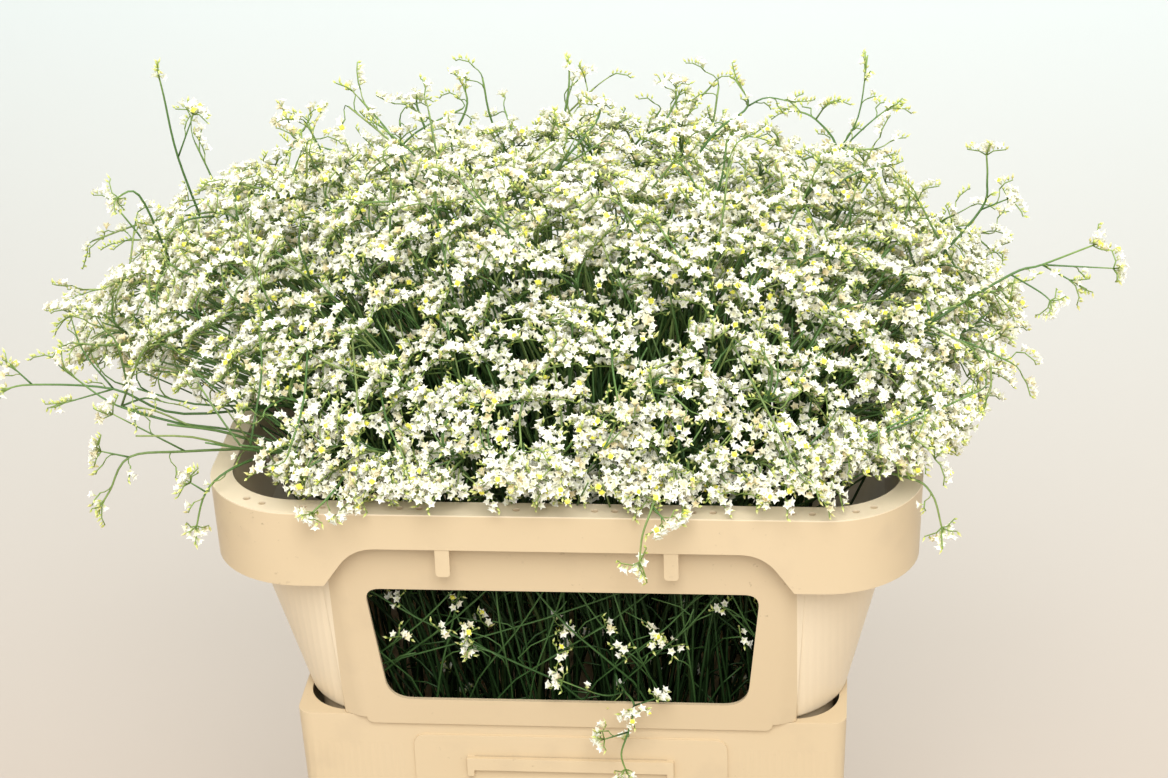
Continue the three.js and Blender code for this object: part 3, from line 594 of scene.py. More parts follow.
def add_modifier(made, name, kind, **settings):
    modifier = made.modifiers.new(name, kind)
    for key, value in settings.items():
        setattr(modifier, key, value)


def boolean(target, operation, tools):
    for tool in tools:
        add_modifier(target, "step", "BOOLEAN", operation=operation, object=tool, solver="MANIFOLD")
    apply_modifiers(target)
    for tool in tools:
        bpy.data.objects.remove(tool)
    return target


def mirrored(source):
    mesh = source.data.copy()
    mesh.transform(Matrix.Diagonal((1, -1, 1, 1)))
    mesh.flip_normals()
    return link_new("solid", mesh)


def both_sides(make):
    front = make()
    return [front, mirrored(front)]


def apply_modifiers(made):
    graph = bpy.context.evaluated_depsgraph_get()
    mesh = bpy.data.meshes.new_from_object(made.evaluated_get(graph))
    made.modifiers.clear()
    made.data = mesh
    return mesh


def finish_plastic(made, name, node, material):
    made.name = name
    add_modifier(made, "round_edges", "BEVEL", width=EDGE_BEVEL * MM, segments=2, limit_method="ANGLE",
                 angle_limit=math.radians(28), harden_normals=False)
    mesh = apply_modifiers(made)
    mesh.shade_smooth()
    mesh.set_sharp_from_angle(angle=math.radians(24))
    add_modifier(made, "even_shading", "WEIGHTED_NORMAL", keep_sharp=True)
    mesh = apply_modifiers(made)
    mesh.name = name
    mesh.materials.clear()
    mesh.materials.append(material)
    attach(made, "root")
    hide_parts(node)


def bucket_front(z):
    return -(BUCKET_FOOT[1] + (BUCKET_TOP[1] - BUCKET_FOOT[1]) * z / BUCKET_HEIGHT)


def make_bucket(material):
    under_rim = BUCKET_HEIGHT - BUCKET_RIM_THICK
    tub = stack((BUCKET_FOOT, 0), (BUCKET_TOP, BUCKET_HEIGHT), (BUCKET_OPENING, BUCKET_HEIGHT),
                (BUCKET_OPENING, under_rim), (shrink(BUCKET_TOP, BUCKET_WALL), under_rim),
                (shrink(BUCKET_FOOT, BUCKET_WALL), BUCKET_FLOOR))
    half = LABEL_HALF_WIDTH
    outline = trapezoid(half, half, LABEL_BOTTOM, LABEL_TOP, LABEL_RADIUS, LABEL_RADIUS)
    face = block(*[(-half - 1, half + 1, bucket_front(z) - LABEL_PROUD, bucket_front(z) + 1, z)
                   for z in (0, BUCKET_HEIGHT)])
    label = boolean(push_along_y(outline, CUT_FRONT_Y, CUT_BACK_Y), "INTERSECT", [face])
    front = bucket_front(LEDGE_Z) - LEDGE_PROUD

    def bar(x0, x1, thick, drop):
        return block(*[(x0, x1, front, front + thick, z) for z in (LEDGE_Z - drop, LEDGE_Z)])
    ledge = bar(-LEDGE_HALF_WIDTH, LEDGE_HALF_WIDTH, LEDGE_THICK, LEDGE_HEIGHT)
    ends = [bar(x, x + LEDGE_END_WIDTH, LEDGE_PROUD + 1, LEDGE_END_DROP)
            for x in (-LEDGE_HALF_WIDTH, LEDGE_HALF_WIDTH - LEDGE_END_WIDTH)]
    made = boolean(tub, "UNION", [label, ledge, *ends])
    finish_plastic(made, "fine_bucket", "bucket", material)


def panel_y(depth, inset=0):
    return -(PANEL_Y_AT_RIM - PANEL_LEAN * depth - inset)


def panel_half(depth, inset=0):
    return PANEL_HALF_AT_RIM - PANEL_TAPER * depth - inset


def panel_slab(depth0, depth1, inset, back):
    """The proud panel from one depth to another, with sloping sides and soft edges."""
    def ring(depth):
        half = panel_half(depth, inset)
        front = panel_y(depth, inset)
        across, along = PANEL_SLOPE
        right = [(half - across, front), (half, front + along), (half, back)]
        corners = right + [(-x, y) for x, y in reversed(right)]
        radii = (PANEL_EDGE_RADIUS, 1, 0, 0, 1, PANEL_EDGE_RADIUS)
        return [(x, y, RIM_Z - depth) for x, y in round_corners(corners, radii)]
    return loft([ring(depth0), ring(depth1)])


def make_apron():
    top = BODY_DEPTH - 1
    half = APRON_HALF_WIDTH
    plate = block(*[(-half - 1, half + 1, panel_y(depth), panel_y(depth, COLLAR_WALL), RIM_Z - depth)
                    for depth in (APRON_DEPTH, top)])
    outline = trapezoid(half, half, RIM_Z - APRON_DEPTH, RIM_Z - top, APRON_RADIUS, 0)
    return boolean(push_along_y(outline, CUT_FRONT_Y, CUT_BACK_Y), "INTERSECT", [plate])


def make_notch():
    outline = trapezoid(NOTCH_HALF_BOTTOM, NOTCH_HALF_TOP, RIM_Z - BAND_DEPTH - 2, RIM_Z - NOTCH_DEPTH,
                        0, NOTCH_RADIUS)
    return push_along_y(outline, CUT_FRONT_Y, NOTCH_BACK_Y)


def make_tab(x):
    half = TAB_WIDTH / 2
    outline = trapezoid(half, half, RIM_Z - TAB_DEPTH, RIM_Z - NOTCH_DEPTH + TAB_OVERLAP, TAB_RADIUS, 0, x)
    return push_along_y(outline, -BAND_HALF[1] - TAB_PROUD, -BAND_HALF[1] + BAND_THICK)


def hole_places():
    front = RIM_HALF[1] - HOLE_INSET
    places = [(middle + side * HOLE_SPACING, y)
              for middle in HOLE_PAIRS_X for side in (-0.5, 0.5) for y in (-front, front)]
    reach = RIM_HALF[2] - HOLE_INSET
    half = math.degrees(HOLE_SPACING / 2 / reach)
    for turn in (CORNER_HOLE_ANGLE - half, CORNER_HOLE_ANGLE + half):
        x = RIM_HALF[0] - RIM_HALF[2] + reach * math.cos(math.radians(turn))
        y = RIM_HALF[1] - RIM_HALF[2] + reach * math.sin(math.radians(turn))
        places += [(x, y), (-x, y), (x, -y), (-x, -y)]
    return places


def make_hole(x, y, sides=16):
    def ring(z):
        angles = [2 * math.pi * k / sides for k in range(sides)]
        return [(x + HOLE_RADIUS * math.cos(angle), y + HOLE_RADIUS * math.sin(angle), z) for angle in angles]
    return loft([ring(RIM_Z - 6), ring(RIM_Z + 6)])


def make_collar(material):
    def level(depth):
        return RIM_Z - depth
    band = stack((BAND_HALF, level(BAND_DEPTH)), (RIM_HALF, RIM_Z))
    band_hollow = stack((shrink(BAND_HALF, BAND_THICK), level(BAND_DEPTH + 2)),
                        (shrink(RIM_HALF, BAND_THICK), level(RIM_THICK)))
    hanging = boolean(band, "DIFFERENCE", [band_hollow, *both_sides(make_notch)])
    body = stack((BODY_BOTTOM, level(BODY_DEPTH)), (BODY_MID, level(BAND_DEPTH)), (BODY_TOP, level(1)))
    skirt = stack((SKIRT, level(SKIRT_DEPTH)), (SKIRT, level(BODY_DEPTH - 1)))
    bottom = BODY_DEPTH - COLLAR_WALL
    hollow = ((SKIRT, SKIRT_DEPTH + 2), (SKIRT, bottom), (BODY_BOTTOM, bottom), (BODY_MID, BAND_DEPTH),
              (BODY_TOP, -1))
    inside = stack(*[(shrink(half, COLLAR_WALL), level(depth)) for half, depth in hollow])
    tab_x = TAB_OUTER - TAB_WIDTH / 2
    added = [body, skirt]
    added += both_sides(lambda: panel_slab(BODY_DEPTH, PANEL_TOP_DEPTH, 0, PANEL_ROOT_Y))
    added += both_sides(make_apron)
    added += both_sides(lambda: make_tab(-tab_x))
    added += both_sides(lambda: make_tab(tab_x))
    whole = boolean(hanging, "UNION", added)
    outline = trapezoid(WINDOW_HALF_BOTTOM, WINDOW_HALF_TOP, level(WINDOW_BOTTOM_DEPTH),
                        level(WINDOW_TOP_DEPTH), WINDOW_RADIUS_BOTTOM, WINDOW_RADIUS_TOP)
    cuts = [inside]
    cuts += both_sides(lambda: panel_slab(bottom, PANEL_TOP_DEPTH + COLLAR_WALL, COLLAR_WALL, PANEL_HOLLOW_Y))
    cuts += both_sides(lambda: push_along_y(outline, CUT_FRONT_Y, CUT_BACK_Y))
    cuts += [make_hole(x, y) for x, y in hole_places()]
    made = boolean(whole, "DIFFERENCE", cuts)
    finish_plastic(made, "fine_collar", "collar", material)


# Seeded random numbers from 0 to 1, the same as the solids draw

MASK = 0xFFFFFFFF


def seeded(seed):
    state = seed & MASK

    def draw():
        nonlocal state
        state = (state + 0x6D2B79F5) & MASK
        mixed = ((state ^ (state >> 15)) * (state | 1)) & MASK
        mixed ^= (mixed + ((mixed ^ (mixed >> 7)) * (mixed | 61))) & MASK
        return ((mixed ^ (mixed >> 14)) & MASK) / 4294967296
    return draw


# Places in the bunch

def lerp(a, b, t):
    return a + (b - a) * t


def neck_half(z, column):
    for low, high in zip(NECK, NECK[1:]):
        if z <= high[0]:
            return lerp(low[column], high[column], max(z - low[0], 0) / (high[0] - low[0]))
    return NECK[-1][column]


def dome_rise(u, v):
    edge = DOME_RISE_FRONT if v < 0 else DOME_RISE_BACK
    side = (DOME_RISE - DOME_RISE_SIDE) * abs(u) ** SIDE_FALL_POWER
    depth = (DOME_RISE - edge) * abs(v) ** FRONT_FALL_POWER
    over = (DOME_RISE - side - depth - DOME_RISE_LEAST) / DOME_SOFTNESS
    return DOME_RISE_LEAST + DOME_SOFTNESS * math.log1p(math.exp(over))


def bunch_point(u, v, z, out, slide):
    across = u * math.sqrt(1 - CORNER_CUT * v * v)
    along = v * math.sqrt(1 - CORNER_CUT * u * u)
    drift = slide * math.tanh((SLIDE_Z - z) / SLIDE_SPAN) * (1 - out)
    half_x = lerp(neck_half(z, 1), DOME_HALF_WIDTH, out)
    half_y = lerp(neck_half(z, 2), DOME_FRONT if v < 0 else DOME_BACK, out)
    return np.array((across * half_x + drift + DOME_SHIFT_X * out, along * half_y, z + out * dome_rise(u, v)))


def make_cells():
    draw = seeded(SEED)
    cells = []
    for row, count in enumerate(STEMS_IN_ROW):
        edges = [-1.0]
        for i in range(1, count):
            edges.append(-1 + (2 * i + EDGE_JITTER * (draw() - 0.5)) / count)
        edges.append(1.0)
        for i in range(count):
            cells.append({
                "u": (edges[i] + edges[i + 1]) / 2,
                "half_u": (edges[i + 1] - edges[i]) / 2,
                "v": -1 + (2 * row + 1) / len(STEMS_IN_ROW),
                "half_v": 1 / len(STEMS_IN_ROW),
                "slide": ROW_SLIDE[row],
                "row": row,
                "place": i,
                "seed": int(draw() * 1e9),
            })
    return cells


# What a spray is drawn with: tubes, florets, buds and corollas, kept until its mesh is made

def unit(vector):
    return vector / max(np.linalg.norm(vector), 1e-9)


def frames_of(directions, spins):
    """Two directions square to each of these and to each other, turned by spins."""
    helper = np.where(np.abs(directions[:, 2:3]) < 0.9, UP, ACROSS)
    first = np.cross(helper, directions)
    first /= np.linalg.norm(first, axis=1, keepdims=True)
    second = np.cross(directions, first)
    cos = np.cos(spins)[:, None]
    sin = np.sin(spins)[:, None]
    return first * cos + second * sin, second * cos - first * sin


def ringed_shape(ring, step, middle, growth):
    """A foot, a ring of points given as radius and height, and a middle point, along +Z."""
    count = len(ring)
    points = [(0, 0, 0)]
    for k, (radius, z) in enumerate(ring):
        angle = 2 * math.pi * k / count
        points.append((radius * math.cos(angle), radius * math.sin(angle), z))
    points.append((0, 0, middle))
    triangles = [(count + 1, 1 + k, 1 + (k + 1) % count) for k in range(count)]
    triangles += [(0, 1 + (k + step) % count, 1 + k) for k in range(step - 1, count, step)]
    return np.array(points), np.array(triangles), np.array([0.0, *[growth[0]] * count, growth[1]])


# A funnel with a five-pointed dished mouth and thin points, and a bud, each one unit wide and one long
FLORET = ringed_shape([(1.0, 1.0), (0.58, 0.9)] * 5, 2, 0.5, (1.0, 0.5))
BUD = ringed_shape([(1.0, 0.42)] * 4, 1, 1.0, (0.5, 1.0))
STEM_SLOT, PETAL_SLOT, BUD_SLOT, COROLLA_SLOT = range(4)


KINDS = {
    "floret": (FLORET, PETAL_SLOT, FLORET_RADIUS, FLORET_LENGTH),
    "bud": (BUD, BUD_SLOT, BUD_RADIUS, BUD_LENGTH),
}


def copies(shape, feet, directions, sides, radius, length):
    """The points of copies of a shape that stand on these feet along these directions."""
    local = shape[0][None, :, :, None]
    radius = radius[:, None, None]
    return (feet[:, None] + sides[0][:, None] * (local[:, :, 0] * radius)
            + sides[1][:, None] * (local[:, :, 1] * radius)
            + directions[:, None] * (local[:, :, 2] * length[:, None, None]))


class Drawing:
    def __init__(self, seed):
        self.random = np.random.RandomState(seed % (2 ** 31))
        self.parts = []
        self.count = 0
        self.items = {kind: [] for kind in KINDS}

    def add(self, points, triangles, growth, slot, smooth):
        looks = [np.full(len(triangles), value) for value in (smooth, slot)]
        self.parts.append((points, triangles + self.count, *looks, growth))
        self.count += len(points)

    def tube(self, path, radii, sides, growth, age):
        """A closed tube along the path. growth is its first and last place up the plant, from 0 to 1."""
        count = len(path)
        radii = np.atleast_1d(radii)
        radii = np.interp(np.linspace(0, 1, count), np.linspace(0, 1, len(radii)), radii)
        tangents = np.gradient(path, axis=0)
        tangents /= np.maximum(np.linalg.norm(tangents, axis=1, keepdims=True), 1e-9)
        helper = DEPTHWISE if abs(tangents[0][1]) < 0.9 else ACROSS
        first = helper - tangents * (tangents @ helper)[:, None]
        first /= np.maximum(np.linalg.norm(first, axis=1, keepdims=True), 1e-9)
        second = np.cross(tangents, first)
        angles = 2 * np.pi * np.arange(sides) / sides
        ring = first[:, None] * np.cos(angles)[:, None] + second[:, None] * np.sin(angles)[:, None]
        points = (path[:, None] + ring * radii[:, None, None]).reshape(-1, 3)
        triangles = []
        last = (count - 1) * sides
        for ring_start in range(0, last, sides):
            for k in range(sides):
                a = ring_start + k
                b = ring_start + (k + 1) % sides
                triangles += [(a, b, b + sides), (a, b + sides, a + sides)]
        for k in range(1, sides - 1):
            triangles += [(0, k + 1, k), (last, last + k, last + k + 1)]
        tone = np.zeros((len(points), 3))
        tone[:, 0] = np.repeat(np.linspace(*growth, count), sides)
        tone[:, 1] = age
        self.add(points, np.array(triangles), tone, STEM_SLOT, True)

    def stem(self, points, steps, radii, sides, growth):
        """A tube along a curve through the points."""
        path = smooth_path(points, steps)
        self.tube(path, radii, sides, growth, self.random.rand())
        return path

    def stalk(self, foot, along, tip, radii, growth, oldest=1.0, steps=3):
        self.tube(stalk_path(foot, along, tip, steps), radii, 3, growth, oldest * self.random.rand())

    def comb(self, origin, start, facing, length, open_share):
        """A curved axis with florets, then buds, side by side on its outer side."""
        draw = self.random
        out = unit(facing - start * (facing @ start))
        side = np.cross(start, out)
        count = max(int(round(length / ITEM_SPACING)), 2)
        s = (np.arange(count) + 0.7) / count
        turn = draw.uniform(*COMB_TURN) * (1 if draw.rand() < COMB_CURL_SHARE else COMB_BACK_TURN)
        cos = np.cos(turn * s)[:, None]
        sin = np.sin(turn * s)[:, None]
        tangents = cos * start - sin * out
        normals = sin * start + cos * out
        path = origin + np.cumsum(tangents, axis=0) * (length / count)
        lean = np.where(np.arange(count) % 2 == 0, 1.0, -1.0)[:, None] * draw.uniform(*COMB_LEAN, (count, 1))
        directions = 0.5 * tangents + 0.8 * normals + lean * side + draw.normal(0, 0.13, (count, 3))
        directions /= np.linalg.norm(directions, axis=1, keepdims=True)
        age = draw.rand()
        axis = np.vstack([origin, path[1::3], path[-1:] + tangents[-1:] * 0.5])
        self.tube(axis, (AXIS_RADIUS * 1.25, AXIS_RADIUS), 3, (0.9, 1.0), 0.6 * age)
        ages = np.clip(0.55 * draw.rand(count) + 0.5 * age, 0, 1)
        for kind, chosen in (("floret", s < open_share), ("bud", s >= open_share)):
            self.items[kind].append((path[chosen], directions[chosen], ages[chosen]))

    def sprig(self, tip, outward, spread, combs, open_share, lengths=COMB_LENGTH):
        """Combs that leave one twig's tip on all sides, facing outward."""
        draw = self.random
        first, second = frames_of(outward[None, :], np.array([draw.uniform(0, 2 * np.pi)]))
        for k in range(combs):
            turn = 2 * np.pi * (k + draw.uniform(-0.25, 0.25)) / combs
            sideways = math.cos(turn) * first[0] + math.sin(turn) * second[0]
            start = unit(outward * draw.uniform(0.45, 1.0) + sideways * spread + draw.normal(0, 0.12, 3))
            facing = unit(outward + 0.25 * sideways + draw.normal(0, 0.2, 3))
            if abs(facing @ start) > 0.97:
                facing = unit(outward + first[0] * 0.6)
            self.comb(tip, start, facing, draw.uniform(*lengths), open_share)

    def add_copies(self, points, shape, ages, slot):
        _, faces, along = shape
        count, each = points.shape[:2]
        triangles = (faces[None] + (np.arange(count) * each)[:, None, None]).reshape(-1, 3)
        growth = np.zeros((count, each, 3))
        growth[:, :, 0] = along
        growth[:, :, 1] = ages[:, None]
        self.add(points.reshape(-1, 3), triangles, growth.reshape(-1, 3), slot, False)

    def flush(self):
        """The florets and buds kept so far, with a small yellow corolla in the mouth of a few florets."""
        draw = self.random
        for kind, (shape, slot, widths, lengths) in KINDS.items():
            feet, directions, ages = (np.concatenate(column) for column in zip(*self.items[kind]))
            count = len(feet)
            radius = draw.uniform(*widths, count)
            length = draw.uniform(*lengths, count)
            sides = frames_of(directions, draw.uniform(0, 2 * np.pi, count))
            points = copies(shape, feet, directions, sides, radius, length)
            ruffle = draw.normal(0, RUFFLE, points.shape[:2])[:, :, None] * radius[:, None, None]
            points = points + directions[:, None] * ruffle * (shape[2][None, :, None] > 0.6)
            self.add_copies(points, shape, ages, slot)
            if kind == "bud":
                continue
            chosen = draw.rand(count) < COROLLA_SHARE
            count = int(chosen.sum())
            radius = radius[chosen] * draw.uniform(*COROLLA_WIDTH, count)
            length = length[chosen]
            directions = directions[chosen]
            feet = feet[chosen] + directions * (0.5 * length)[:, None]
            points = copies(BUD, feet, directions, [side[chosen] for side in sides], radius, 0.75 * length)
            self.add_copies(points, BUD, np.zeros(count), COROLLA_SLOT)

    def make(self, name, node, materials):
        self.flush()
        made = mesh_object(name, materials, *(np.concatenate(column) for column in zip(*self.parts)))
        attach(made, "root")
        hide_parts(node)


def smooth_path(points, steps):
    """A curve through the points, with this many steps between each two."""
    points = [np.asarray(point, dtype=float) for point in points]
    ends = [2 * points[0] - points[1], *points, 2 * points[-1] - points[-2]]
    path = []
    for a, b, c, d in zip(ends, ends[1:], ends[2:], ends[3:]):
        for k in range(steps):
            t = k / steps
            path.append(0.5 * (2 * b + (c - a) * t + (2 * a - 5 * b + 4 * c - d) * t ** 2
                               + (3 * b - a - 3 * c + d) * t ** 3))
    path.append(points[-1])
    return np.array(path)


def stalk_path(start, along, end, steps=4):
    """A stalk that leaves its branch in the direction along and bends over to its end."""
    reach = np.linalg.norm(end - start)
    bend = start + along * reach * 0.5
    t = np.linspace(0, 1, steps + 1)[:, None]
    return (1 - t) ** 2 * start + 2 * t * (1 - t) * bend + t ** 2 * end


def grow_sites(drawing, sites, branches):
    """A stalk to each site from the nearest lower point of the branches, and a sprig of combs at its end."""
    draw = drawing.random
    places = np.concatenate(branches)
    tangents = np.concatenate([np.gradient(path, axis=0) for path in branches])
    for site, outward, combs in sites:
        gap = np.linalg.norm(places - site, axis=1)
        below = (site - places) @ outward
        cost = gap + np.where(below < 0.45 * gap, WRONG_SIDE_COST, 0) + np.abs(gap - STALK_REACH) * 0.8
        best = int(np.argmin(cost))
        along = unit(unit(tangents[best]) + 0.35 * outward + draw.normal(0, 0.15, 3))
        radii = (STALK_RADIUS * 1.2, STALK_RADIUS * 0.8)
        drawing.stalk(places[best], along, site, radii, (0.62, 0.92), steps=4)
        outward = unit(outward + draw.normal(0, SITE_TILT, 3))
        drawing.sprig(site, outward, draw.uniform(0.7, 1.15), combs, OPEN_SHARE)


def grow_run(drawing, points, end, radius, growth, lengths):
    """One stem of a long spray, with combs of buds or a sprig at its end, and small combs along it."""
    path = smooth_path(points, 5)
    draw = drawing.random
    drawing.tube(path, (radius, radius * 0.6), 5, growth, draw.uniform(0.2, 0.8))
    direction = unit(path[-1] - path[-3])
    facing = unit(UP - direction * (UP @ direction) + draw.normal(0, 0.1, 3))
    if end == "buds":
        drawing.comb(path[-3], direction, facing, 17, 0.15)
        drawing.comb(path[-3], unit(direction + 0.5 * facing), facing, 11, 0.1)
        drawing.comb(path[-2], unit(direction - 0.4 * facing), -facing, 9, 0.3)
    else:
        drawing.sprig(path[-1] - direction * 3, direction, 0.8, 4, 0.7, lengths)
    for foot in path[2:-3:4]:
        side = unit(np.cross(direction, draw.normal(0, 1, 3)))
        if draw.rand() < 0.7:
            tip = foot + unit(side + 0.8 * direction) * draw.uniform(5, 10)
            drawing.stalk(foot, direction, tip, AXIS_RADIUS, TWIG_GROWTH)
            drawing.comb(tip, unit(side + direction), unit(UP + side), draw.uniform(5, 9), 0.5)


def grow_runs(drawing, runs, start, growth, lengths=(8, 14)):
    """A long spray: its main stem from start, and side stems from points of the main one."""
    main = runs[0][2:]
    for on, end, *points in runs:
        first = start if on is None else [main[on]]
        points = np.array([*first, *points], dtype=float)
        grow_run(drawing, points, end, BRANCH_RADIUS * (1 if on is None else 0.7), growth, lengths)


def quad_area(corners):
    return 0.5 * float(np.linalg.norm(np.cross(corners[2] - corners[0], corners[3] - corners[1])))


def cell_point(cell, a, b, out, z=RIM_Z):
    u = cell["u"] + a * cell["half_u"]
    v = cell["v"] + b * cell["half_v"]
    return bunch_point(u, v, z, out, cell["slide"])


def even_places(count, shift):
    """Places from -1 to 1 each way that fill a square evenly, however many there are."""
    i = np.arange(count)
    return 2 * np.mod(shift[0] + i * 0.7548776662, 1) - 1, 2 * np.mod(shift[1] + i * 0.5698402910, 1) - 1


def patchiness(point):
    """From -1 where the florets leave gaps to 1 where they crowd."""
    x, y, z = point
    return math.sin(x / 12 + 0.9 * math.sin(y / 17)) * math.sin(y / 14 + z / 13 + 0.9 * math.sin(x / 25))


def is_bare(point):
    """Whether a place is below the florets of the left flank, or outside those of the right one."""
    x, y, z = point
    depth = y - FLANK_Y
    height = z + FLANK_SLOPE * depth
    left, right = (x + FLANK_SHIFT[0] * depth, x - FLANK_SHIFT[1] * depth)
    return height < np.interp(left, *zip(*LEFT_FLANK)) or right > np.interp(height, *zip(*RIGHT_FLANK))


def add_site(sites, cell, a, b, out, up, combs, draw):
    point = cell_point(cell, a, b, out)
    away = unit(cell_point(cell, a, b, out + 0.1) - point)
    point[2] += cell["lift"] * out
    low_gap, high_gap, high_out = PATCH_GAP
    is_gap = patchiness(point) < lerp(low_gap, high_gap, min(out / high_out, 1)) and draw.rand() < PATCH_EMPTY
    point = np.clip(point + draw.normal(0, SITE_JITTER, 3), SITE_LOW, SITE_HIGH)
    outward = unit(away + UP * up + draw.normal(0, SITE_TILT, 3))
    if not is_bare(point) and not is_gap:
        sites.append((point, outward, combs))


def cell_sites(cell, draw):
    """Places for sprigs: layers under the dome, the bunch's outer faces, and over the container's rim."""
    sites = []
    area = quad_area([cell_point(cell, a, b, 1.0) for a, b in ((-1, -1), (1, -1), (1, 1), (-1, 1))])
    for low, high, share, combs in LAYERS:
        across, along = even_places(int(round(share * area / SITE_AREA)), draw.rand(2))
        for a, b in zip(across, along):
            add_site(sites, cell, a, b, draw.uniform(low, high), 0.4, combs, draw)
    row, place = cell["row"], cell["place"]
    is_last = place == STEMS_IN_ROW[row] - 1
    faces = ((0, -1, row == 0, FRONT_BARE), (0, 1, row == len(STEMS_IN_ROW) - 1, BACK_BARE),
             (-1, 0, place == 0, LEFT_BARE), (1, 0, is_last, RIGHT_BARE))
    for side_a, side_b, is_outer, bare in faces:
        if not is_outer:
            continue
        area = quad_area([cell_point(cell, side_a or k, side_b or k, out)
                          for k, out in ((-1, bare), (1, bare), (1, 1.0), (-1, 1.0))])
        across, heights = even_places(int(round(FACE_SHARE * area / SITE_AREA)), draw.rand(2))
        for k, height in zip(across, heights):
            depth = draw.uniform(*FACE_DEPTH)
            add_site(sites, cell, side_a * depth or k, side_b * depth or k,
                     lerp(bare, FACE_TOP, (height + 1) / 2), 0.15, 3, draw)
    rim = []
    if row == 0 and place > 0:
        rim += [(a, draw.uniform(-1.45, -0.7)) for a in np.linspace(-1, 1, RIM_SITES)]
    if row < RIM_ROWS and is_last:
        rim += [(draw.uniform(0.6, 1.3), b) for b in np.linspace(-1.4, 1, END_RIM_SITES)]
    for a, b in rim:
        add_site(sites, cell, a, b, draw.uniform(*RIM_OUT), 0.5, 3, draw)
    return sites


def grow_wisps(drawing, cell, branches):
    """Thin forked stems that stand a little out of the dome, with buds along their tips."""
    draw = drawing.random
    for _ in range(WISPS):
        branch = branches[draw.randint(len(branches))]
        start = branch[-1 - draw.randint(3)]
        a, b = draw.uniform(-0.9, 0.9, 2)
        crown = cell_point(cell, a, b, 0.97) + UP * cell["lift"]
        up = unit(unit(cell_point(cell, a, b, 1.1) - crown) + UP * 0.8 + draw.normal(0, 0.2, 3))
        top = np.clip(crown + up * draw.uniform(*WISP_RISE), SITE_LOW, WISP_HIGH)
        path = drawing.stem([start, lerp(start, top, 0.55) + draw.normal(0, 3, 3), top], 4,
                            (BRANCH_RADIUS * 0.8, STALK_RADIUS), 4, (0.6, 0.9))
        direction = unit(path[-1] - path[-2])
        for k in range(draw.randint(2, 4)):
            foot = path[-1 - k]
            turned = unit(direction + draw.normal(0, 0.55, 3))
            tip = foot + turned * draw.uniform(5, 13)
            drawing.stalk(foot, direction, tip, (STALK_RADIUS * 0.8, AXIS_RADIUS), TWIG_GROWTH)
            facing = unit(UP + draw.normal(0, 0.35, 3))
            drawing.comb(tip, unit(turned + draw.normal(0, 0.25, 3)), facing, draw.uniform(9, 16),
                         draw.choice((0.1, 0.5, 0.8)))


def grow_side_stems(drawing, stem):
    """More stems beside the main one inside the container, which cross it and each other."""
    draw = drawing.random
    for _ in range(SIDE_STEMS):
        foot = stem[draw.randint(2, len(stem) // 2)]
        top = stem[-1 - draw.randint(3)] + draw.uniform(-1, 1, 3) * SIDE_TOP_REACH
        middle = lerp(foot, top, 0.5) + draw.uniform(-1, 1, 3) * SIDE_BEND
        path = keep_inside(smooth_path([foot, middle, top], 4))
        drawing.tube(path, (BRANCH_RADIUS * 1.1, BRANCH_RADIUS * 0.8), 4, (0.0, 0.5), 0.5 * draw.rand())
        for _ in range(SIDE_TWIGS):
            start = path[draw.randint(2, len(path) - 1)]
            side = unit(draw.normal(0, 1, 3) * np.array((1, 0.7, 0.2)) + UP * 0.9)
            tip = keep_inside(start[None] + side * draw.uniform(22, 55))[0]
            drawing.stalk(start, unit(top - foot), tip, (STALK_RADIUS * 1.4, STALK_RADIUS), (0.1, 0.55), 0.5)
            if draw.rand() < INSIDE_SPRIG_SHARE:
                drawing.sprig(tip, side, 0.8, 2, 0.6, (5, 9))


def grow_window_stems(drawing, cell):
    """Thin stems just behind the front window, which cross each other and carry a few florets."""
    draw = drawing.random
    left, right = (cell_point(cell, side, -1, 0)[0] for side in (-1, 1))
    for _ in range(WINDOW_STEMS):
        x = draw.uniform(left, right)
        lean = draw.normal(0, WINDOW_LEAN)
        y = -draw.uniform(100, WINDOW_HALF_Y)
        path = keep_inside(smooth_path([(x - 1.7 * lean, -90, 245), (x - lean, -101, 296),
                                        (x + 0.2 * lean, y, 340), (x + 1.2 * lean, y, 384)], 4))
        radii = (BRANCH_RADIUS, STALK_RADIUS) if draw.rand() < 0.4 else STALK_RADIUS
        drawing.tube(path, radii, 4, (0.35, 0.65), 0.4 * draw.rand())
        for k in draw.choice(np.arange(5, len(path) - 1), 3, replace=False):
            aside = draw.choice((-1, 1)) * draw.uniform(0.5, 1.3)
            side = unit(np.array((aside, draw.uniform(-0.5, 0.2), 1.0)))
            tip = keep_inside(path[k:k + 1] + side * draw.uniform(12, 34))[0]
            along = unit(path[k + 1] - path[k])
            drawing.stalk(path[k], along, tip, (STALK_RADIUS, AXIS_RADIUS), (0.4, 0.7), 0.5)
            if draw.rand() < WINDOW_SPRIG_SHARE and tip[2] < WINDOW_HEIGHTS[1]:
                drawing.sprig(tip, unit(side - DEPTHWISE * 0.8), 0.9, 3, 0.5, (4, 9))


def keep_inside(path):
    """The path kept between the container's walls, and a little further out behind the window."""
    by_window = (path[:, 2] > WINDOW_HEIGHTS[0]) & (path[:, 2] < WINDOW_HEIGHTS[1]) & (path[:, 1] < 0)
    half_y = np.where(by_window, WINDOW_HALF_Y, INSIDE_HALF[1])
    path[:, 0] = np.clip(path[:, 0], -INSIDE_HALF[0], INSIDE_HALF[0])
    path[:, 1] = np.clip(path[:, 1], -half_y, half_y)
    return path


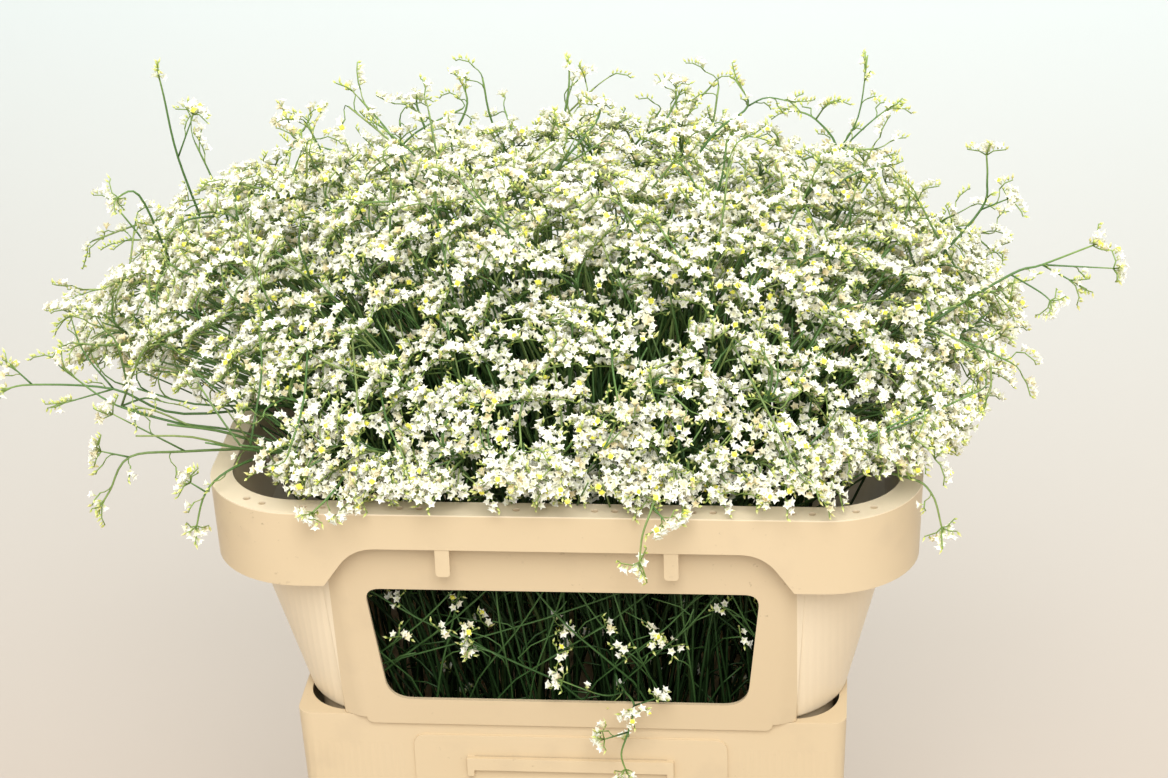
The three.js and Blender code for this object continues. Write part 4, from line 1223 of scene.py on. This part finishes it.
def grow_fill(drawing, cell):
    """Thin stems from the neck up into the dome, which darken the gaps below the florets."""
    draw = drawing.random
    for _ in range(FILL_STEMS):
        low = cell_point(cell, *draw.uniform(-1.2, 1.2, 2), 0.0) * np.array((0.95, 0.95, 1.0))
        low[2] -= draw.uniform(5, 60)
        high = cell_point(cell, *draw.uniform(-1.6, 1.6, 2), draw.uniform(0.35, 0.8))
        high = np.clip(high, SITE_LOW, SITE_HIGH)
        if not is_bare(high):
            drawing.stem([low, lerp(low, high, 0.5) + draw.normal(0, 5, 3), high], 2,
                         (BRANCH_RADIUS, STALK_RADIUS), 3, (0.3, 0.75))


def grow_fan(drawing, cell, neck):
    """Bare stems that fan out over the rim to the florets of the left side."""
    draw = drawing.random
    for _ in range(FAN_STEMS):
        end = cell_point(cell, draw.uniform(-1.0, 0.2), draw.uniform(-1, 1), draw.uniform(0.75, 0.95))
        if not is_bare(end):
            bend = lerp(neck, end, 0.45) + draw.uniform((-6, -8, -4), (6, 4, 8))
            drawing.stem([neck, bend, end], 4, (BRANCH_RADIUS, STALK_RADIUS), 4, (0.45, 0.85))


def make_spray(cell, name, materials):
    draw = seeded(cell["seed"])

    def jittered(size, out, z=RIM_Z):
        a, b = (size * (2 * draw() - 1) for _ in range(2))
        return cell_point(cell, a, b, out, z)
    below = [jittered(STEM_SPREAD, 0, z) for z in STEM_LEVELS]
    neck = jittered(NECK_SPREAD, 0)
    fork = jittered(FORK_SPREAD, FORK_OUT)
    leader = cell_point(cell, 0, 0, CORE_END)
    drawing = Drawing(cell["seed"])
    stem = drawing.stem([*below, neck, fork], 4, (STEM_RADIUS, STEM_RADIUS * 0.9), 7, (0.0, 0.5))
    core = [fork, cell_point(cell, 0, 0, CORE_START), cell_point(cell, 0.1, 0.1, 0.6), leader]
    core = drawing.stem(core, 4, (STEM_RADIUS * 0.85, STEM_RADIUS * 0.5), 6, (0.5, 0.8))
    branches = [core]
    for a, b in ((-1, -1), (1, -1), (1, 1), (-1, 1)):
        start = lerp(neck, fork, drawing.random.uniform(0.3, 0.8))
        bend = cell_point(cell, a * 0.5, b * 0.5, 0.36)
        tip = cell_point(cell, a * 0.68, b * 0.68, 0.84)
        middle = lerp(bend, tip, 0.55) + drawing.random.normal(0, 2.5, 3)
        branches.append(drawing.stem([start, bend, middle, tip], 3, (BRANCH_RADIUS, BRANCH_RADIUS * 0.6), 5,
                                     (0.5, 0.82)))
    cell["lift"] = drawing.random.uniform(*LIFT)
    grow_sites(drawing, cell_sites(cell, drawing.random), branches)
    grow_wisps(drawing, cell, branches)
    grow_side_stems(drawing, stem)
    grow_fill(drawing, cell)
    if cell["place"] == 0:
        grow_fan(drawing, cell, neck)
    if cell["row"] == 0:
        grow_window_stems(drawing, cell)
    for row, place, source, *runs in LONG_SPRAYS:
        if (row, place) == (cell["row"], cell["place"]):
            grow_runs(drawing, runs, [fork if source == "fork" else leader], (0.55, 0.95))
    drawing.make("fine_" + name, name, materials)


def make_sprays(materials):
    for number, cell in enumerate(make_cells(), start=1):
        make_spray(cell, f"spray_{number:02d}", materials)
    drawing = Drawing(SEED)
    grow_runs(drawing, WINDOW_SPRAY, [], (0.2, 0.95), (6, 10))
    drawing.make("fine_window_spray", "window_spray", materials)


# Floor and backdrop in one sweep, light and camera

def make_stage(material):
    profile = [(-SWEEP_NEAR, 0)]
    for k in range(SWEEP_STEPS + 1):
        angle = math.radians(90 * k / SWEEP_STEPS)
        profile.append((SWEEP_FAR - SWEEP_RADIUS * (1 - math.sin(angle)),
                        SWEEP_RADIUS * (1 - math.cos(angle))))
    profile.append((SWEEP_FAR, SWEEP_HEIGHT))
    points = [(x, y, z) for y, z in profile for x in (-SWEEP_HALF_WIDTH, SWEEP_HALF_WIDTH)]
    faces = [(a, a + 1, a + 3, a + 2) for a in range(0, len(points) - 2, 2)]
    made = faced_object(points, faces, "studio_sweep")
    made.data.shade_smooth()
    made.data.materials.append(material)


def make_lamp(name, place, target, width, power):
    data = bpy.data.lights.new(name, "AREA")
    data.shape = "SQUARE"
    data.size = width
    data.energy = power
    made = link_new(name, data)
    made.location = place
    made.rotation_euler = (Vector(target) - made.location).to_track_quat("-Z", "Y").to_euler()


def make_lights():
    world = bpy.data.worlds.new("studio")
    world.use_nodes = True
    background = world.node_tree.nodes["Background"]
    background.inputs["Color"].default_value = WORLD_COLOR
    background.inputs["Strength"].default_value = WORLD_STRENGTH
    bpy.context.scene.world = world
    for lamp in LAMPS:
        make_lamp(*lamp)


def make_camera():
    level = math.cos(VIEW_ELEVATION)
    back = Vector((math.sin(VIEW_AZIMUTH) * level, -math.cos(VIEW_AZIMUTH) * level, math.sin(VIEW_ELEVATION)))
    right = Vector((math.cos(VIEW_AZIMUTH), math.sin(VIEW_AZIMUTH), 0))
    up = right.cross(-back)
    rolled_right = math.cos(VIEW_ROLL) * right + math.sin(VIEW_ROLL) * up
    rolled_up = math.cos(VIEW_ROLL) * up - math.sin(VIEW_ROLL) * right
    data = bpy.data.cameras.new("camera")
    data.lens = LENS
    data.sensor_width = SENSOR
    data.sensor_fit = "HORIZONTAL"
    made = link_new("camera", data)
    axes = Matrix((rolled_right, rolled_up, back)).transposed().to_4x4()
    made.matrix_world = Matrix.Translation((Vector(VIEW_TARGET) + back * VIEW_DISTANCE) * MM) @ axes
    bpy.context.scene.camera = made


make_camera()
make_stage(make_stage_material())
make_lights()
PLASTIC = make_plastic_material()
make_bucket(PLASTIC)
make_collar(PLASTIC)
make_sprays([plant_material(*row) for row in PLANT_MATERIALS])
bpy.context.scene.view_settings.view_transform = "Standard"
